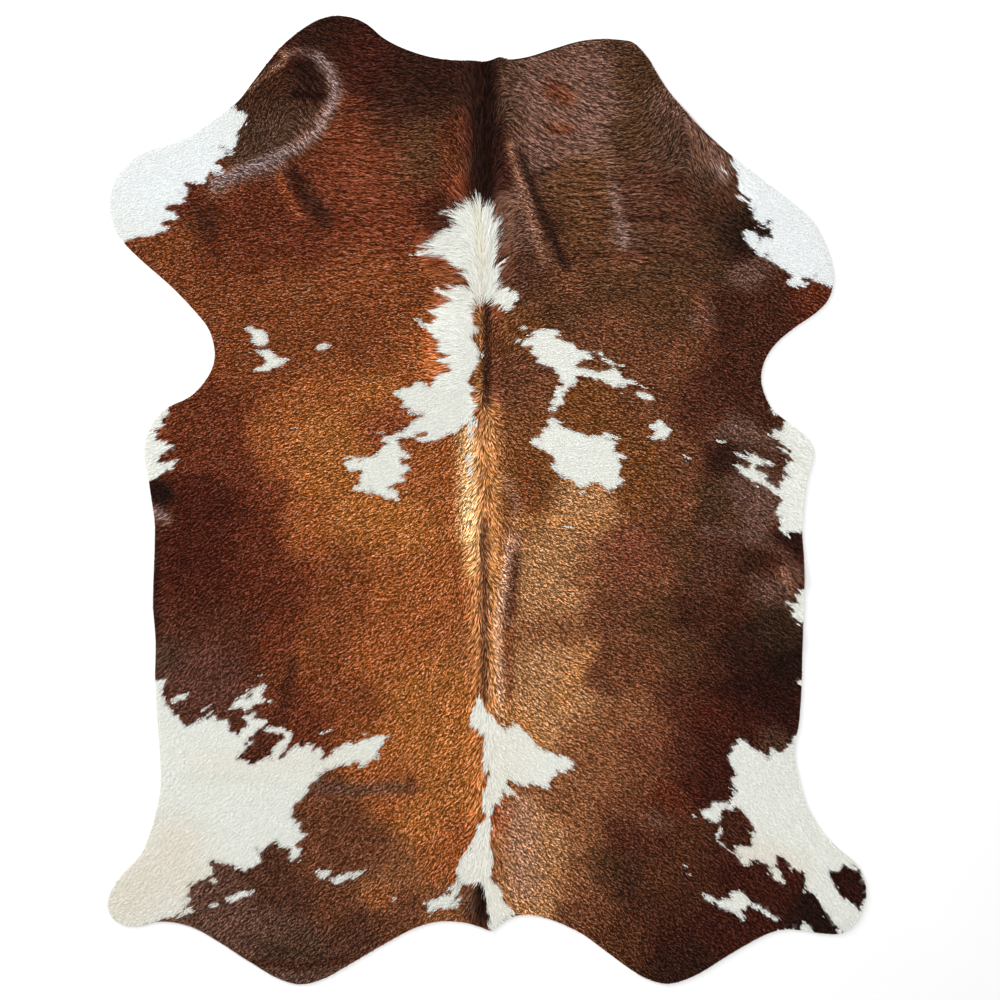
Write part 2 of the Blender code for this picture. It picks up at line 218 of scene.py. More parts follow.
# Painted over them one after another, each fading out at its reach; besides coat markings they
# paint shade into creases and hollows, and sheen and highlights onto ridges and rolls
TONE_STROKES = [
    # place, tone, strength, reach in pixels, path
    ("right neck fleck", "bay", 0.7, 17, [(552, 90), (564, 96)]),
    ("right neck fleck, low", "bay", 0.7, 9, [(550, 128), (568, 129)]),
    ("right mane side", "maroon", 0.8, 11, [(500, 130), (506, 186)]),
    ("left armpit edge", "rose tan", 0.6, 13, [(130, 250), (175, 292), (211, 345)]),
    # Painted shade in the right shoulder's hollow, and painted sheen along its edge
    ("right shoulder hollow", "dark brown", 0.9, 16, [(683, 186), (683, 197)]),
    ("right shoulder edge", "mauve", 0.7, 12, [(674, 108), (700, 134), (728, 160)]),
    ("right shoulder glow", "mauve", 0.6, 12, [(524, 160), (530, 172)]),
    # Painted shade in a fold at the left belly's cut edge
    ("left belly, dark", "soot", 0.8, 9, [(152, 490), (168, 492)]),
    ("left flank rim", "soot", 0.6, 9, [(156, 530), (155, 640)]),
    # Painted shade in a trough of the left flank
    ("left flank trough", "dark brown", 0.7, 11, [(293, 662), (286, 698), (280, 722)]),
    # Painted shade in hollows of the right flank and belly, and on a wave of the right flank's cut
    # edge
    ("right flank hollow", "umber", 0.5, 16, [(748, 560), (758, 562)]),
    ("right flank rim", "soot", 0.8, 8, [(796, 538), (798, 548)]),
    ("right belly hollow", "umber", 0.5, 16, [(722, 465), (732, 466)]),
    ("right belly, pale", "mauve", 0.8, 28, [(738, 488), (768, 514)]),
    ("mane", "soot", 1.0, 25, [(480, 58), (482, 190)]),
    ("mane, darkest", "pitch", 1.0, 15, [(488, 66), (489, 190)]),
    ("mane fleck", "copper", 0.9, 5, [(446, 146), (447, 166)]),
    # Painted sheen along the rim of the bulge over the left shoulder
    ("arc over the left shoulder, tip", "lilac", 0.6, 9, [(290, 53), (304, 52), (318, 58)]),
    ("arc over the left shoulder", "lilac", 0.95, 12, [
        (318, 58), (331, 72), (337, 92), (330, 112), (318, 133), (300, 148), (280, 156),
        (262, 164), (240, 173), (215, 182)]),
    ("arc, broad part", "lilac", 0.7, 16, [(216, 188), (246, 172), (278, 167)]),
    ("scar on the disk", "pearl", 1.0, 4.5, [
        (248, 90), (258, 80), (272, 70), (284, 62), (287, 55), (281, 52)]),
    # Painted shade in the crease across the disk
    ("disk crease", "pitch", 0.9, 7, [(296, 95), (325, 97)]),
    ("disk, darkest", "soot", 0.6, 16, [(308, 68), (314, 82)]),
    ("disk, left", "peat", 0.8, 18, [(268, 84), (250, 110)]),
    # Painted shade in the furrow beside the spur, and a painted highlight on the spur's ridge
    ("beside the spur", "umber", 0.75, 16, [(294, 174), (310, 200), (326, 220)]),
    ("spur under the arc", "copper", 0.9, 9, [(280, 176), (290, 200), (298, 216)]),
    ("left shoulder gleam", "pink", 0.55, 8, [(298, 300), (312, 285)]),
    # Painted shade in the crease across the left neck
    ("neck crease, left", "umber", 0.45, 7, [(340, 112), (384, 108), (432, 112)]),
    # Painted highlight and painted shade on the two sides of the pleat behind the withers
    ("withers pleat, lit", "pink", 0.75, 8, [(510, 145), (518, 175), (530, 215), (545, 264)]),
    ("withers pleat, dark", "soot", 0.85, 7, [(518, 152), (533, 190), (552, 235), (566, 268)]),
    # Painted sheen on the shoulder ridge
    ("shoulder ridge", "mauve", 0.7, 12, [(608, 166), (614, 190), (618, 215), (626, 246)]),
    # Painted shade in the shoulder's wrinkles and in the nick at the withers
    ("shoulder wrinkle, upper", "umber", 0.5, 4, [(602, 181), (640, 180), (688, 184)]),
    ("shoulder wrinkle, lower", "umber", 0.8, 4, [(602, 218), (640, 217), (682, 219)]),
    ("withers nick", "soot", 0.7, 4, [(530, 178), (545, 172), (558, 166)]),
    ("shoulder sheen", "lilac", 0.5, 9, [(612, 192), (618, 212), (622, 242)]),
    ("shoulder gleam", "lilac", 0.7, 12, [(716, 166), (724, 176)]),
    # Painted shade in the fold across the shoulder
    ("shoulder fold", "dark brown", 0.65, 7, [(574, 257), (640, 256), (738, 258)]),
    ("slant behind the withers", "khaki", 0.5, 12, [
        (520, 315), (550, 292), (590, 272), (642, 262)]),
    ("under the slant", "olive", 0.4, 15, [(560, 320), (600, 296), (642, 286)]),
    # Painted highlight on the ridge by the right armpit
    ("armpit ridge", "rose tan", 0.6, 12, [(700, 298), (705, 328), (715, 347)]),
    # Painted sheen on the rolls of the right belly and flank
    ("right belly roll", "mauve", 0.8, 15, [(716, 434), (744, 430), (772, 446)]),
    ("right flank roll", "mauve", 0.75, 9, [(704, 530), (745, 533), (780, 548), (801, 576)]),
    ("right flank gleam", "pink", 0.8, 9, [(782, 570), (788, 583)]),
    # Painted sheen on a wave at the right flank's edge
    ("right flank wave sheen", "mauve", 0.6, 8, [(752, 577), (770, 592), (790, 610)]),
    ("left belly gleam", "lilac", 0.9, 13, [(158, 513), (166, 518)]),
    ("backbone halo", "cream", 1.0, 21, [(469, 436), (469, 532)]),
    ("backbone, left", "cream", 0.75, 17, [(470, 500), (473, 570)]),
    ("backbone, left, low", "honey", 0.6, 14, [(474, 575), (477, 645)]),
    ("backbone, right", "honey", 0.85, 19, [(490, 404), (492, 560), (492, 704)]),
    ("beside the crest, right", "rose tan", 0.8, 10, [(496, 306), (497, 400)]),
    ("backbone, dark line", "umber", 0.9, 6, [(487, 300), (487, 404)]),
    ("beside the crest, left", "honey", 1.0, 6, [(479, 305), (478, 402)]),
    ("backbone, dark line, low", "umber", 0.8, 5, [(484, 520), (485, 610), (484, 702)]),
    ("backbone hollow", "tan", 0.8, 12, [(525, 462), (526, 510)]),
    # Painted highlight on the ridge beside the backbone, and painted shade just right of it
    ("ridge beside the backbone", "pink", 0.85, 10, [
        (508, 480), (518, 510), (515, 545), (508, 590), (508, 624)]),
    ("beside the ridge", "dark brown", 0.65, 9, [(516, 556), (511, 612)]),
    ("beside the ridge, low", "chestnut", 0.6, 8, [(509, 630), (509, 700)]),
    # Painted highlight on the lower part of that ridge
    ("ridge, lower part", "pearl", 1.0, 6, [
        (510, 540), (503, 585), (497, 625), (499, 660), (501, 715)]),
    # Painted highlights on a branch of that ridge and on the slant over the right loin
    ("ridge branch", "honey", 0.8, 13, [(518, 523), (556, 522), (598, 524)]),
    ("right loin slant", "honey", 0.85, 15, [(560, 700), (576, 672), (592, 645)]),
    # Painted sheen on the ridge across the left thigh
    ("thigh ridge sheen", "mauve", 0.75, 12, [(316, 787), (360, 789), (402, 787)]),
    ("left rump blotch", "cocoa", 0.6, 11, [(412, 779), (412, 791)]),
    ("left buttock gleam", "golden", 0.6, 20, [(374, 895), (386, 896)]),
    # Painted shade in the crease over the left rump, and painted sheen on the rim below it
    ("left rump crease", "dark brown", 0.8, 7, [(254, 962), (298, 966), (342, 961)]),
    ("left rump edge", "mauve", 0.8, 13, [(262, 974), (300, 979), (338, 974)]),
    ("right tail side", "blush", 0.9, 30, [(520, 810), (524, 884)]),
    ("tail", "dun", 0.8, 10, [(469, 892), (471, 912)]),
    ("tail, dark middle", "soot", 0.95, 8, [(480, 888), (482, 924)]),
    ("below the ridge, pale", "honey", 0.7, 16, [(508, 706), (540, 738)]),
]

# ---------------------------------------------------------------- coat chart: the white
WHITES = {
    # name: red, green, blue, from 0 to 255, written as they are
    "white": (241, 242, 234),
    "cool white": (246, 253, 253),
    "ivory": (238, 232, 218),
    "warm ivory": (238, 227, 200),
}
WHITE_STROKES = [
    # place, tone, strength, reach in pixels, path
    ("left foreleg", "cool white", 1.0, 90, [(150, 190), (210, 160)]),
    ("right foreleg", "cool white", 1.0, 90, [(760, 200), (800, 260)]),
    ("left hind foot", "ivory", 1.0, 60, [(130, 900), (175, 850), (180, 880)]),
    ("crest, middle", "warm ivory", 0.55, 11, [(476, 206), (481, 258)]),
    ("crest, below", "ivory", 0.6, 14, [(481, 262), (478, 296)]),
    ("belly of the left patch", "ivory", 0.4, 30, [(200, 764), (360, 764)]),
    ("right hind patch", "ivory", 0.8, 34, [(752, 852), (792, 868)]),
    ("rump patch", "ivory", 0.5, 60, [(500, 740), (490, 900)]),
]
# Outlines of the white patches; those at the cut edge are closed outside the hide
WHITE_PATCHES = {
    "left foreleg": [
        (230, 107), (241, 110), (247, 117), (246, 124), (240, 131), (238, 142), (234, 150),
        (228, 153), (225, 150), (218, 162), (226, 172), (214, 173), (210, 169), (206, 178),
        (209, 186), (192, 186), (187, 184), (191, 191), (181, 198), (182, 205), (169, 210),
        (179, 213), (164, 227), (161, 235), (144, 238), (125, 244), (100, 246), (92, 150),
        (200, 90)],
    "right foreleg": [
        (731, 156), (737, 178), (735, 190), (736, 201), (742, 200), (750, 208), (755, 219),
        (762, 225), (768, 222), (768, 226), (761, 229), (769, 229), (769, 234), (759, 239),
        (756, 232), (748, 228), (741, 233), (748, 240), (750, 250), (768, 259), (785, 270),
        (790, 275), (785, 282), (789, 286), (806, 287), (809, 283), (804, 280), (818, 280),
        (830, 287), (850, 290), (860, 220), (800, 140)],
    "right foreleg, thread": [(720, 165), (724, 168), (729, 177), (725, 174)],
    "withers crest": [
        (468, 197), (473, 192), (479, 193), (484, 199), (490, 201), (495, 207), (499, 212),
        (501, 224), (503, 234), (501, 244), (501, 262), (502, 276), (505, 288), (519, 292),
        (514, 297), (521, 300), (512, 308), (508, 312), (501, 311), (501, 306), (496, 304),
        (496, 300), (490, 297), (483, 298), (479, 304), (475, 304), (476, 320), (474, 326),
        (475, 341), (481, 350), (480, 358), (475, 368), (472, 380), (473, 400), (476, 413),
        (474, 430), (472, 440), (464, 427), (456, 432), (448, 436), (442, 441), (430, 439),
        (418, 440), (402, 440), (396, 444), (403, 451), (409, 456), (402, 460), (409, 470),
        (404, 476), (405, 481), (396, 484), (390, 489), (400, 492), (410, 491), (402, 496),
        (403, 503), (388, 500), (371, 494), (352, 488), (361, 484), (360, 472), (341, 464),
        (347, 458), (357, 460), (367, 457), (379, 451), (386, 444), (378, 435), (392, 431),
        (409, 427), (412, 419), (419, 417), (401, 408), (404, 402), (396, 394), (401, 388),
        (418, 380), (431, 385), (430, 378), (448, 372), (446, 366), (441, 360), (447, 356),
        (437, 351), (442, 346), (437, 341), (427, 331), (416, 319), (432, 321), (437, 317),
        (429, 310), (436, 305), (446, 301), (437, 288), (454, 290), (464, 286), (461, 276),
        (448, 267), (436, 260), (429, 258), (415, 251), (426, 247), (424, 242), (428, 235),
        (437, 228), (443, 223), (449, 219), (440, 212), (455, 206), (458, 202)],
    "backbone thread": [(466, 450), (469, 452), (472, 467), (474, 484), (470, 482), (468, 467)],
    "withers fleck": [(517, 328), (524, 326), (529, 328), (522, 331)],
    "right shoulder blade": [
        (516, 342), (530, 334), (543, 327), (554, 331), (561, 339), (573, 344), (591, 356),
        (592, 360), (581, 365), (591, 369), (606, 372), (612, 367), (617, 369), (622, 375),
        (639, 383), (647, 388), (632, 387), (617, 389), (608, 387), (598, 380), (588, 377),
        (581, 380), (577, 387), (563, 391), (562, 404), (555, 411), (549, 411), (553, 398),
        (555, 389), (562, 386), (558, 375), (546, 369), (535, 362), (531, 347)],
    "right shoulder spur": [
        (600, 354), (604, 357), (612, 360), (616, 364), (613, 367), (607, 364), (602, 360)],
    "right shoulder thread": [(616, 364), (625, 364), (625, 367), (617, 367)],
    "right shoulder fleck": [
        (636, 393), (644, 393), (652, 396), (659, 402), (650, 400), (641, 399)],
    "right ribs hook": [
        (661, 420), (666, 425), (671, 430), (667, 435), (665, 440), (652, 440), (646, 435),
        (655, 434), (657, 432), (654, 430), (648, 429), (650, 424)],
    "right ribs": [
        (545, 418), (559, 418), (568, 427), (580, 431), (588, 438), (596, 433), (604, 432),
        (616, 439), (620, 445), (618, 450), (628, 457), (620, 462), (620, 474), (625, 480),
        (617, 486), (612, 493), (602, 492), (597, 484), (588, 484), (580, 488), (572, 481),
        (560, 476), (553, 462), (543, 450), (531, 442), (539, 437), (539, 434), (547, 427)],
    "right ribs fleck": [(577, 493), (583, 491), (587, 493), (581, 495)],
    "left ribs fleck, upper": [
        (246, 329), (252, 327), (260, 328), (267, 333), (268, 342), (266, 346), (254, 346),
        (249, 343), (254, 338)],
    "left ribs fleck, lower": [
        (256, 350), (270, 347), (277, 355), (292, 360), (280, 366), (270, 372), (254, 371),
        (266, 361), (258, 353)],
    "left ribs fleck, inner": [(314, 343), (327, 342), (331, 346), (328, 350), (318, 352)],
    "left belly": [
        (171, 407), (163, 424), (154, 436), (162, 442), (174, 441), (168, 447), (159, 456),
        (160, 461), (180, 459), (172, 470), (159, 478), (151, 480), (130, 482), (130, 405)],
    "right belly": [
        (766, 402), (772, 410), (768, 416), (774, 419), (784, 417), (781, 429), (770, 433),
        (778, 444), (788, 452), (792, 460), (784, 462), (781, 468), (787, 477), (780, 472),
        (770, 461), (756, 453), (749, 456), (739, 452), (749, 463), (745, 467), (734, 465),
        (737, 472), (749, 480), (766, 488), (777, 499), (776, 510), (781, 516), (779, 524),
        (769, 526), (776, 532), (789, 537), (791, 532), (800, 533), (830, 530), (835, 420),
        (790, 395)],
    "right belly nick": [
        (796, 590), (796, 600), (791, 604), (785, 602), (793, 612), (797, 622), (830, 622),
        (830, 594)],
    "right edge nick": [(797, 682), (800, 680), (815, 681), (815, 685), (800, 684)],
    "left hind leg": [
        (155, 677), (163, 679), (168, 690), (165, 697), (169, 709), (176, 715), (190, 724),
        (200, 718), (215, 710), (218, 716), (228, 718), (228, 725), (237, 733), (246, 724),
        (245, 719), (253, 714), (267, 722), (281, 728), (296, 734), (288, 744), (282, 754),
        (297, 746), (318, 744), (324, 755), (345, 744), (363, 740), (365, 734), (380, 732),
        (390, 736), (383, 744), (380, 760), (363, 768), (353, 763), (331, 771), (318, 775),
        (310, 788), (312, 792), (300, 800), (291, 804), (294, 812), (293, 819), (300, 823),
        (301, 834), (310, 833), (300, 842), (301, 856), (290, 864), (286, 848), (273, 844),
        (259, 852), (261, 862), (247, 872), (239, 868), (222, 862), (212, 864), (214, 874),
        (192, 884), (190, 901), (192, 911), (178, 917), (161, 920), (120, 940), (92, 900),
        (140, 800), (140, 676)],
    "left thigh fleck": [
        (262, 684), (268, 686), (263, 694), (269, 698), (272, 702), (254, 707), (245, 709),
        (231, 710), (228, 705), (243, 696), (253, 688)],
    "left thigh streak": [(168, 700), (178, 695), (189, 693), (184, 699), (174, 703)],
    "left thigh thread": [(195, 712), (204, 706), (213, 703), (205, 709), (198, 714)],
    "left thigh tick": [(253, 678), (260, 674), (266, 673), (259, 678)],
    "left buttock fleck": [
        (224, 897), (240, 890), (259, 889), (252, 895), (238, 900), (226, 903)],
    "left buttock speck, upper": [(209, 880), (215, 877), (219, 881), (214, 884)],
    "left buttock speck, lower": [(208, 905), (216, 901), (220, 905), (212, 908)],
    "left buttock streak": [
        (316, 871), (326, 870), (336, 877), (346, 871), (356, 871), (366, 873), (358, 877),
        (344, 880), (334, 884), (322, 878)],
    "left rump speck": [(390, 903), (394, 896), (397, 899), (394, 903)],
    "rump": [
        (479, 697), (483, 703), (487, 711), (494, 713), (500, 723), (507, 727), (513, 723),
        (520, 720), (531, 738), (548, 749), (564, 756), (585, 765), (568, 769), (552, 776),
        (552, 785), (546, 788), (538, 784), (524, 787), (516, 783), (507, 784), (519, 795),
        (503, 798), (494, 808), (489, 816), (492, 833), (491, 845), (495, 864), (489, 880),
        (503, 890), (509, 900), (514, 915), (505, 935), (488, 940), (487, 918), (484, 900),
        (481, 885), (469, 887), (461, 884), (460, 898), (449, 910), (440, 908), (430, 913),
        (421, 902), (436, 897), (448, 892), (456, 881), (456, 866), (460, 853), (471, 845),
        (474, 830), (483, 818), (485, 785), (483, 755), (480, 734), (468, 724), (472, 711),
        (478, 708)],
    "right hind leg": [
        (798, 733), (789, 742), (778, 752), (771, 748), (768, 756), (755, 748), (739, 739),
        (732, 746), (728, 760), (734, 774), (731, 785), (735, 792), (729, 800), (716, 802),
        (702, 811), (702, 814), (719, 826), (711, 836), (713, 842), (726, 848), (737, 856),
        (739, 865), (747, 869), (753, 864), (750, 859), (757, 860), (768, 873), (778, 881),
        (791, 884), (781, 874), (775, 863), (777, 857), (786, 861), (791, 868), (802, 873),
        (807, 890), (822, 907), (839, 932), (880, 950), (890, 860), (830, 733)],
    "right buttock fleck": [
        (700, 893), (716, 899), (725, 897), (730, 891), (729, 884), (735, 887), (740, 886),
        (747, 893), (757, 907), (779, 920), (762, 915), (751, 908), (744, 910), (747, 917),
        (755, 925), (741, 920), (726, 912), (715, 903), (704, 899)],
    "right hind edge": [
        (774, 925), (783, 927), (796, 930), (804, 920), (809, 923), (814, 933), (815, 940),
        (775, 940)],
    "right thigh streak": [(680, 862), (685, 864), (691, 869), (684, 867)],
    "right thigh dash": [(686, 872), (692, 873), (692, 876), (687, 875)],
    "right thigh speck": [(690, 812), (694, 814), (698, 818), (693, 817)],
    "tick, left ribs": [(292, 428), (298, 427), (302, 427), (297, 429)],
    "tick, right belly": [(715, 440), (724, 440), (726, 442), (718, 443)],
    "tick, right ribs": [(680, 452), (686, 455), (692, 460), (685, 458)],
    "tick, right ribs, low": [(683, 461), (688, 461), (692, 464), (687, 463)],
    "tick, right flank": [(744, 497), (748, 500), (754, 506), (748, 502)],
    "tick, ridge branch": [(563, 526), (572, 526), (573, 528), (564, 528)],
    "tick, left loin": [(402, 676), (410, 672), (409, 674), (403, 678)],
    "tick, left thigh": [(320, 733), (333, 728), (331, 731), (322, 735)],
}
BROWN_ISLANDS = {
    "right belly": [
        (757, 465), (769, 466), (778, 470), (783, 478), (779, 484), (768, 478), (761, 472)],
    "left patch": [(418, 436), (423, 433), (431, 437), (424, 438)],
    "left thigh": [
        (250, 738), (262, 730), (272, 733), (286, 735), (275, 743), (267, 748), (273, 752),
        (262, 760), (254, 763), (237, 757), (247, 746), (252, 742)],
    "right thigh": [
        (722, 808), (735, 810), (745, 816), (751, 828), (749, 834), (754, 847), (735, 845),
        (730, 847), (721, 840), (725, 834), (720, 822)],
    "right hind foot": [
        (828, 874), (844, 868), (859, 874), (865, 889), (863, 905), (859, 910), (849, 899),
        (836, 886)],
}

# ---------------------------------------------------------------- how the hair lies
FLOW = [
    # x, y, heading in degrees (0 to the right, 90 towards the neck), reach in pixels
    (480, 75, 92, 26), (480, 120, 92, 26), (480, 165, 92, 26), (480, 200, 90, 20),
    (481, 240, 90, 16), (480, 280, 92, 14), (456, 188, 130, 16), (440, 236, 188, 22),
    (448, 280, 178, 22), (505, 212, 46, 16), (508, 250, 40, 16), (518, 290, 22, 18),
    (460, 215, 150, 14), (498, 300, 50, 12), (466, 330, 150, 14), (455, 365, 185, 18),
    (430, 330, 172, 28), (440, 400, 190, 28), (380, 450, 195, 34), (360, 340, 184, 44),
    (440, 90, 178, 30), (430, 150, 180, 32), (385, 55, 178, 32), (380, 115, 192, 26),
    (360, 150, 170, 30), (330, 190, 172, 30), (380, 205, 172, 36), (345, 122, 178, 18),
    (350, 66, 158, 18), (330, 30, 165, 30), (300, 52, 148, 14), (322, 72, 134, 16),
    (330, 92, 138, 14), (314, 116, 124, 16), (300, 140, 128, 14), (276, 158, 134, 14),
    (245, 168, 150, 14), (225, 178, 166, 16), (300, 84, 128, 16), (270, 78, 236, 22),
    (255, 102, 246, 20), (266, 130, 248, 20), (248, 148, 236, 18), (228, 158, 214, 14),
    (150, 200, 196, 44), (200, 140, 200, 30), (200, 220, 190, 40), (280, 200, 176, 26),
    (160, 260, 200, 36), (230, 280, 186, 44), (300, 250, 184, 44), (420, 240, 180, 34),
    (200, 350, 196, 40), (280, 350, 190, 44), (200, 430, 204, 46), (290, 430, 200, 46),
    (170, 500, 206, 40), (250, 510, 208, 46), (340, 520, 203, 46), (430, 490, 214, 32),
    (170, 580, 212, 40), (250, 590, 214, 46), (350, 600, 208, 46), (430, 570, 222, 32),
    (180, 660, 224, 44), (260, 670, 218, 46), (350, 680, 213, 46), (430, 660, 222, 34),
    (200, 740, 222, 46), (290, 750, 220, 46), (370, 750, 217, 46), (440, 740, 224, 34),
    (170, 820, 222, 40), (250, 830, 222, 46), (340, 830, 218, 46), (430, 820, 224, 40),
    (130, 890, 214, 34), (200, 900, 222, 40), (290, 910, 220, 46), (380, 900, 222, 46),
    (440, 890, 228, 26), (300, 960, 216, 36), (464, 440, 236, 14), (462, 520, 240, 14),
    (462, 600, 238, 14), (462, 680, 240, 14), (464, 780, 240, 16), (466, 860, 244, 14),
    (478, 430, 268, 12), (480, 520, 270, 12), (481, 600, 270, 12), (482, 700, 268, 12),
    (482, 790, 268, 12), (482, 860, 268, 12), (481, 910, 266, 12), (481, 340, 90, 8),
    (500, 450, 296, 12), (502, 540, 300, 14), (502, 620, 302, 14), (502, 700, 304, 14),
    (504, 790, 302, 14), (502, 870, 298, 14), (494, 350, 62, 12), (512, 350, 36, 16),
    (512, 400, 350, 18), (535, 430, 338, 28), (560, 370, 350, 36), (520, 310, 24, 20),
    (545, 290, 6, 24), (504, 78, 322, 16), (530, 76, 330, 22), (565, 76, 336, 24),
    (600, 60, 344, 22), (540, 104, 322, 22), (572, 106, 326, 20), (604, 110, 334, 20),
    (622, 76, 352, 16), (641, 62, 8, 14), (644, 92, 34, 16), (652, 112, 46, 16),
    (622, 132, 12, 18), (662, 84, 62, 14), (663, 132, 58, 14), (674, 112, 74, 10),
    (675, 144, 70, 10), (690, 118, 292, 10), (700, 142, 286, 12), (716, 164, 298, 14),
    (730, 186, 302, 18), (706, 176, 296, 16), (722, 206, 316, 18), (524, 126, 314, 16),
    (510, 134, 300, 12), (512, 165, 304, 14), (530, 150, 322, 16), (552, 162, 336, 18),
    (600, 164, 358, 24), (566, 190, 354, 26), (620, 186, 2, 22), (650, 166, 22, 16),
    (670, 166, 44, 10), (520, 200, 328, 16), (508, 190, 320, 12), (528, 240, 352, 18),
    (580, 230, 356, 30), (640, 225, 356, 30), (690, 220, 346, 26), (690, 195, 330, 16),
    (740, 232, 332, 26), (780, 240, 330, 36), (760, 200, 328, 34), (620, 270, 354, 34),
    (700, 280, 344, 34), (790, 290, 332, 34), (640, 350, 350, 44), (730, 350, 336, 40),
    (600, 420, 346, 44), (680, 420, 342, 44), (760, 420, 330, 36), (560, 500, 342, 40),
    (640, 500, 344, 44), (720, 490, 336, 40), (780, 500, 326, 34), (540, 570, 326, 32),
    (600, 580, 342, 44), (680, 580, 338, 44), (760, 570, 320, 34), (790, 620, 322, 26),
    (540, 650, 322, 32), (610, 660, 336, 44), (690, 660, 334, 44), (770, 660, 326, 40),
    (790, 710, 338, 26), (540, 740, 322, 34), (610, 740, 332, 44), (690, 740, 330, 44),
    (760, 740, 320, 36), (540, 830, 320, 36), (610, 830, 328, 44), (690, 830, 324, 44),
    (760, 830, 316, 40), (830, 880, 314, 40), (540, 900, 318, 34), (620, 920, 322, 44),
    (700, 930, 320, 44), (780, 900, 314, 40),
]

# Hair length, painted over the body hair
BODY_HAIR = 7.0 * MM
LENGTH_STROKES = [
    # place, hair length, strength, reach in pixels, path
    ("left neck and shoulder", 14 * MM, 1.0, 110, [(380, 90), (360, 230)]),
    ("right neck and shoulder", 15 * MM, 1.0, 120, [(560, 110), (640, 220)]),
    ("left foreleg", 8 * MM, 1.0, 70, [(140, 190), (200, 190)]),
    ("right foreleg", 8 * MM, 1.0, 60, [(790, 250), (800, 260)]),
    ("left hind foot", 9 * MM, 1.0, 80, [(140, 880), (200, 840)]),
    ("right hind foot", 9 * MM, 1.0, 70, [(830, 890), (790, 840)]),
    ("right shoulder edge", 22 * MM, 1.0, 26, [(690, 130), (738, 190)]),
    ("left belly edge", 16 * MM, 1.0, 26, [(156, 430), (154, 690)]),
    ("right belly edge", 16 * MM, 1.0, 26, [(800, 430), (802, 720)]),
    ("backbone", 19 * MM, 1.0, 22, [(482, 400), (484, 860)]),
    ("beside the crest", 25 * MM, 1.0, 28, [(450, 300), (446, 370)]),
    ("mane", 36 * MM, 1.0, 26, [(479, 64), (480, 190)]),
    ("crest", 50 * MM, 1.0, 40, [(480, 206), (481, 240), (478, 290)]),
    ("crest, left", 46 * MM, 1.0, 26, [(462, 222), (440, 246), (446, 262)]),
    ("tail", 36 * MM, 1.0, 15, [(480, 886), (482, 926)]),
]

# Where the coat lies in longer, broader streaks
STREAK_STROKES = [
    # place, share of broad streaks, strength, reach in pixels, path
    ("left neck and shoulder", 0.5, 1.0, 110, [(370, 110), (360, 220)]),
    ("right neck and shoulder", 0.7, 1.0, 130, [(560, 110), (640, 220)]),
    ("left arc", 0.8, 1.0, 40, [(310, 70), (300, 150)]),
    ("right flank", 0.5, 1.0, 60, [(760, 560), (760, 640)]),
]

# Fine creases of the skin, over the folds that the frame has
CREASES = [
    # place, height (below 0 sinks), reach, path
    ("neck, left", -1.2 * MM, 11 * MM, [(338, 112), (384, 108), (440, 111)]),
    ("disk", -1.2 * MM, 10 * MM, [(290, 97), (332, 98)]),
    ("scar", 1.0 * MM, 6 * MM, [(248, 90), (258, 80), (272, 70), (284, 62), (287, 54)]),
    ("right neck", -1.2 * MM, 12 * MM, [(500, 121), (540, 120), (580, 124)]),
    ("right neck, top", -1.0 * MM, 10 * MM, [(502, 74), (540, 68)]),
    ("right withers nick", -1.5 * MM, 9 * MM, [(532, 179), (548, 168)]),
    ("right shoulder, upper", -1.2 * MM, 10 * MM, [(600, 180), (640, 180), (690, 184)]),
    ("right shoulder, lower", -1.4 * MM, 10 * MM, [(600, 219), (650, 217), (690, 212)]),
    ("right shoulder fold", -1.6 * MM, 12 * MM, [(572, 257), (650, 255), (738, 258)]),
    ("left flank nick", -1.2 * MM, 9 * MM, [(346, 622), (362, 612)]),
    ("left rump", -1.4 * MM, 12 * MM, [(252, 962), (298, 966), (344, 961)]),
    ("left thigh", -1.0 * MM, 10 * MM, [(300, 823), (344, 821)]),
    ("right belly", -1.4 * MM, 12 * MM, [(712, 456), (740, 448)]),
]


# ---------------------------------------------------------------- charts
FAR_WEIGHT = 0.002           # lets distant places settle what none is near to
FAR_REACH = 60.0
TONE_REACH = 1.25            # of the charted reach
TONE_SOFTENING = 2

PATCH_MARGIN = 14.0          # pixels to each side of a border that are measured
SMALL_PATCH = 40.0           # pixels across; the borders of smaller ones are calmer
SMALL_PATCH_CALM = 0.45
TICK = 14.0                  # pixels across; the calmest borders
TICK_CALM = 0.15
CALM_MARGIN = 5.0            # pixels outside a small patch that are calm too
WHITE_INSET = 0.6            # pixels that the white stays back from its charted border
WISP_RAGGED = 1.3            # pixels that the border is moved by the coat's wisps
SPIKE_RAGGED = 1.5

# Streaks of the coat: softening, pixels drawn out each way, widest blotch that stays
FINE_STREAKS = (0, 1, 3)
BROAD_STREAKS = (0, 4, 12)
WISPS = (3, 8)
SPIKES = (1, 7)
MOTTLING = (40, 4)
LEAST_BROAD = 0.1            # share of broad streaks where no stroke asks for more
BROAD_CONTRAST = 0.4         # added where the streaks are broad


def chart_points(step):
    """The pixels of a chart's points, as rows of (x, y)."""
    columns, rows = (CHART_SPAN / step).astype(int) + 1
    xs = CHART_CORNER[0] + step * np.arange(columns)
    ys = CHART_CORNER[1] + step * np.arange(rows)
    return np.stack(np.meshgrid(xs, ys), axis=-1)


def read_chart(chart, step, pixels):
    """What a chart says at the given pixels, between its points."""
    rows, columns = chart.shape[:2]
    place = (pixels - CHART_CORNER) / step
    column = np.clip(place[..., 0], 0, columns - 1.001)
    row = np.clip(place[..., 1], 0, rows - 1.001)
    left = column.astype(int)
    top = row.astype(int)
    across = column - left
    down = row - top
    if chart.ndim > 2:
        across = across[..., None]
        down = down[..., None]
    upper = chart[top, left] * (1 - across) + chart[top, left + 1] * across
    lower = chart[top + 1, left] * (1 - across) + chart[top + 1, left + 1] * across
    return upper * (1 - down) + lower * down


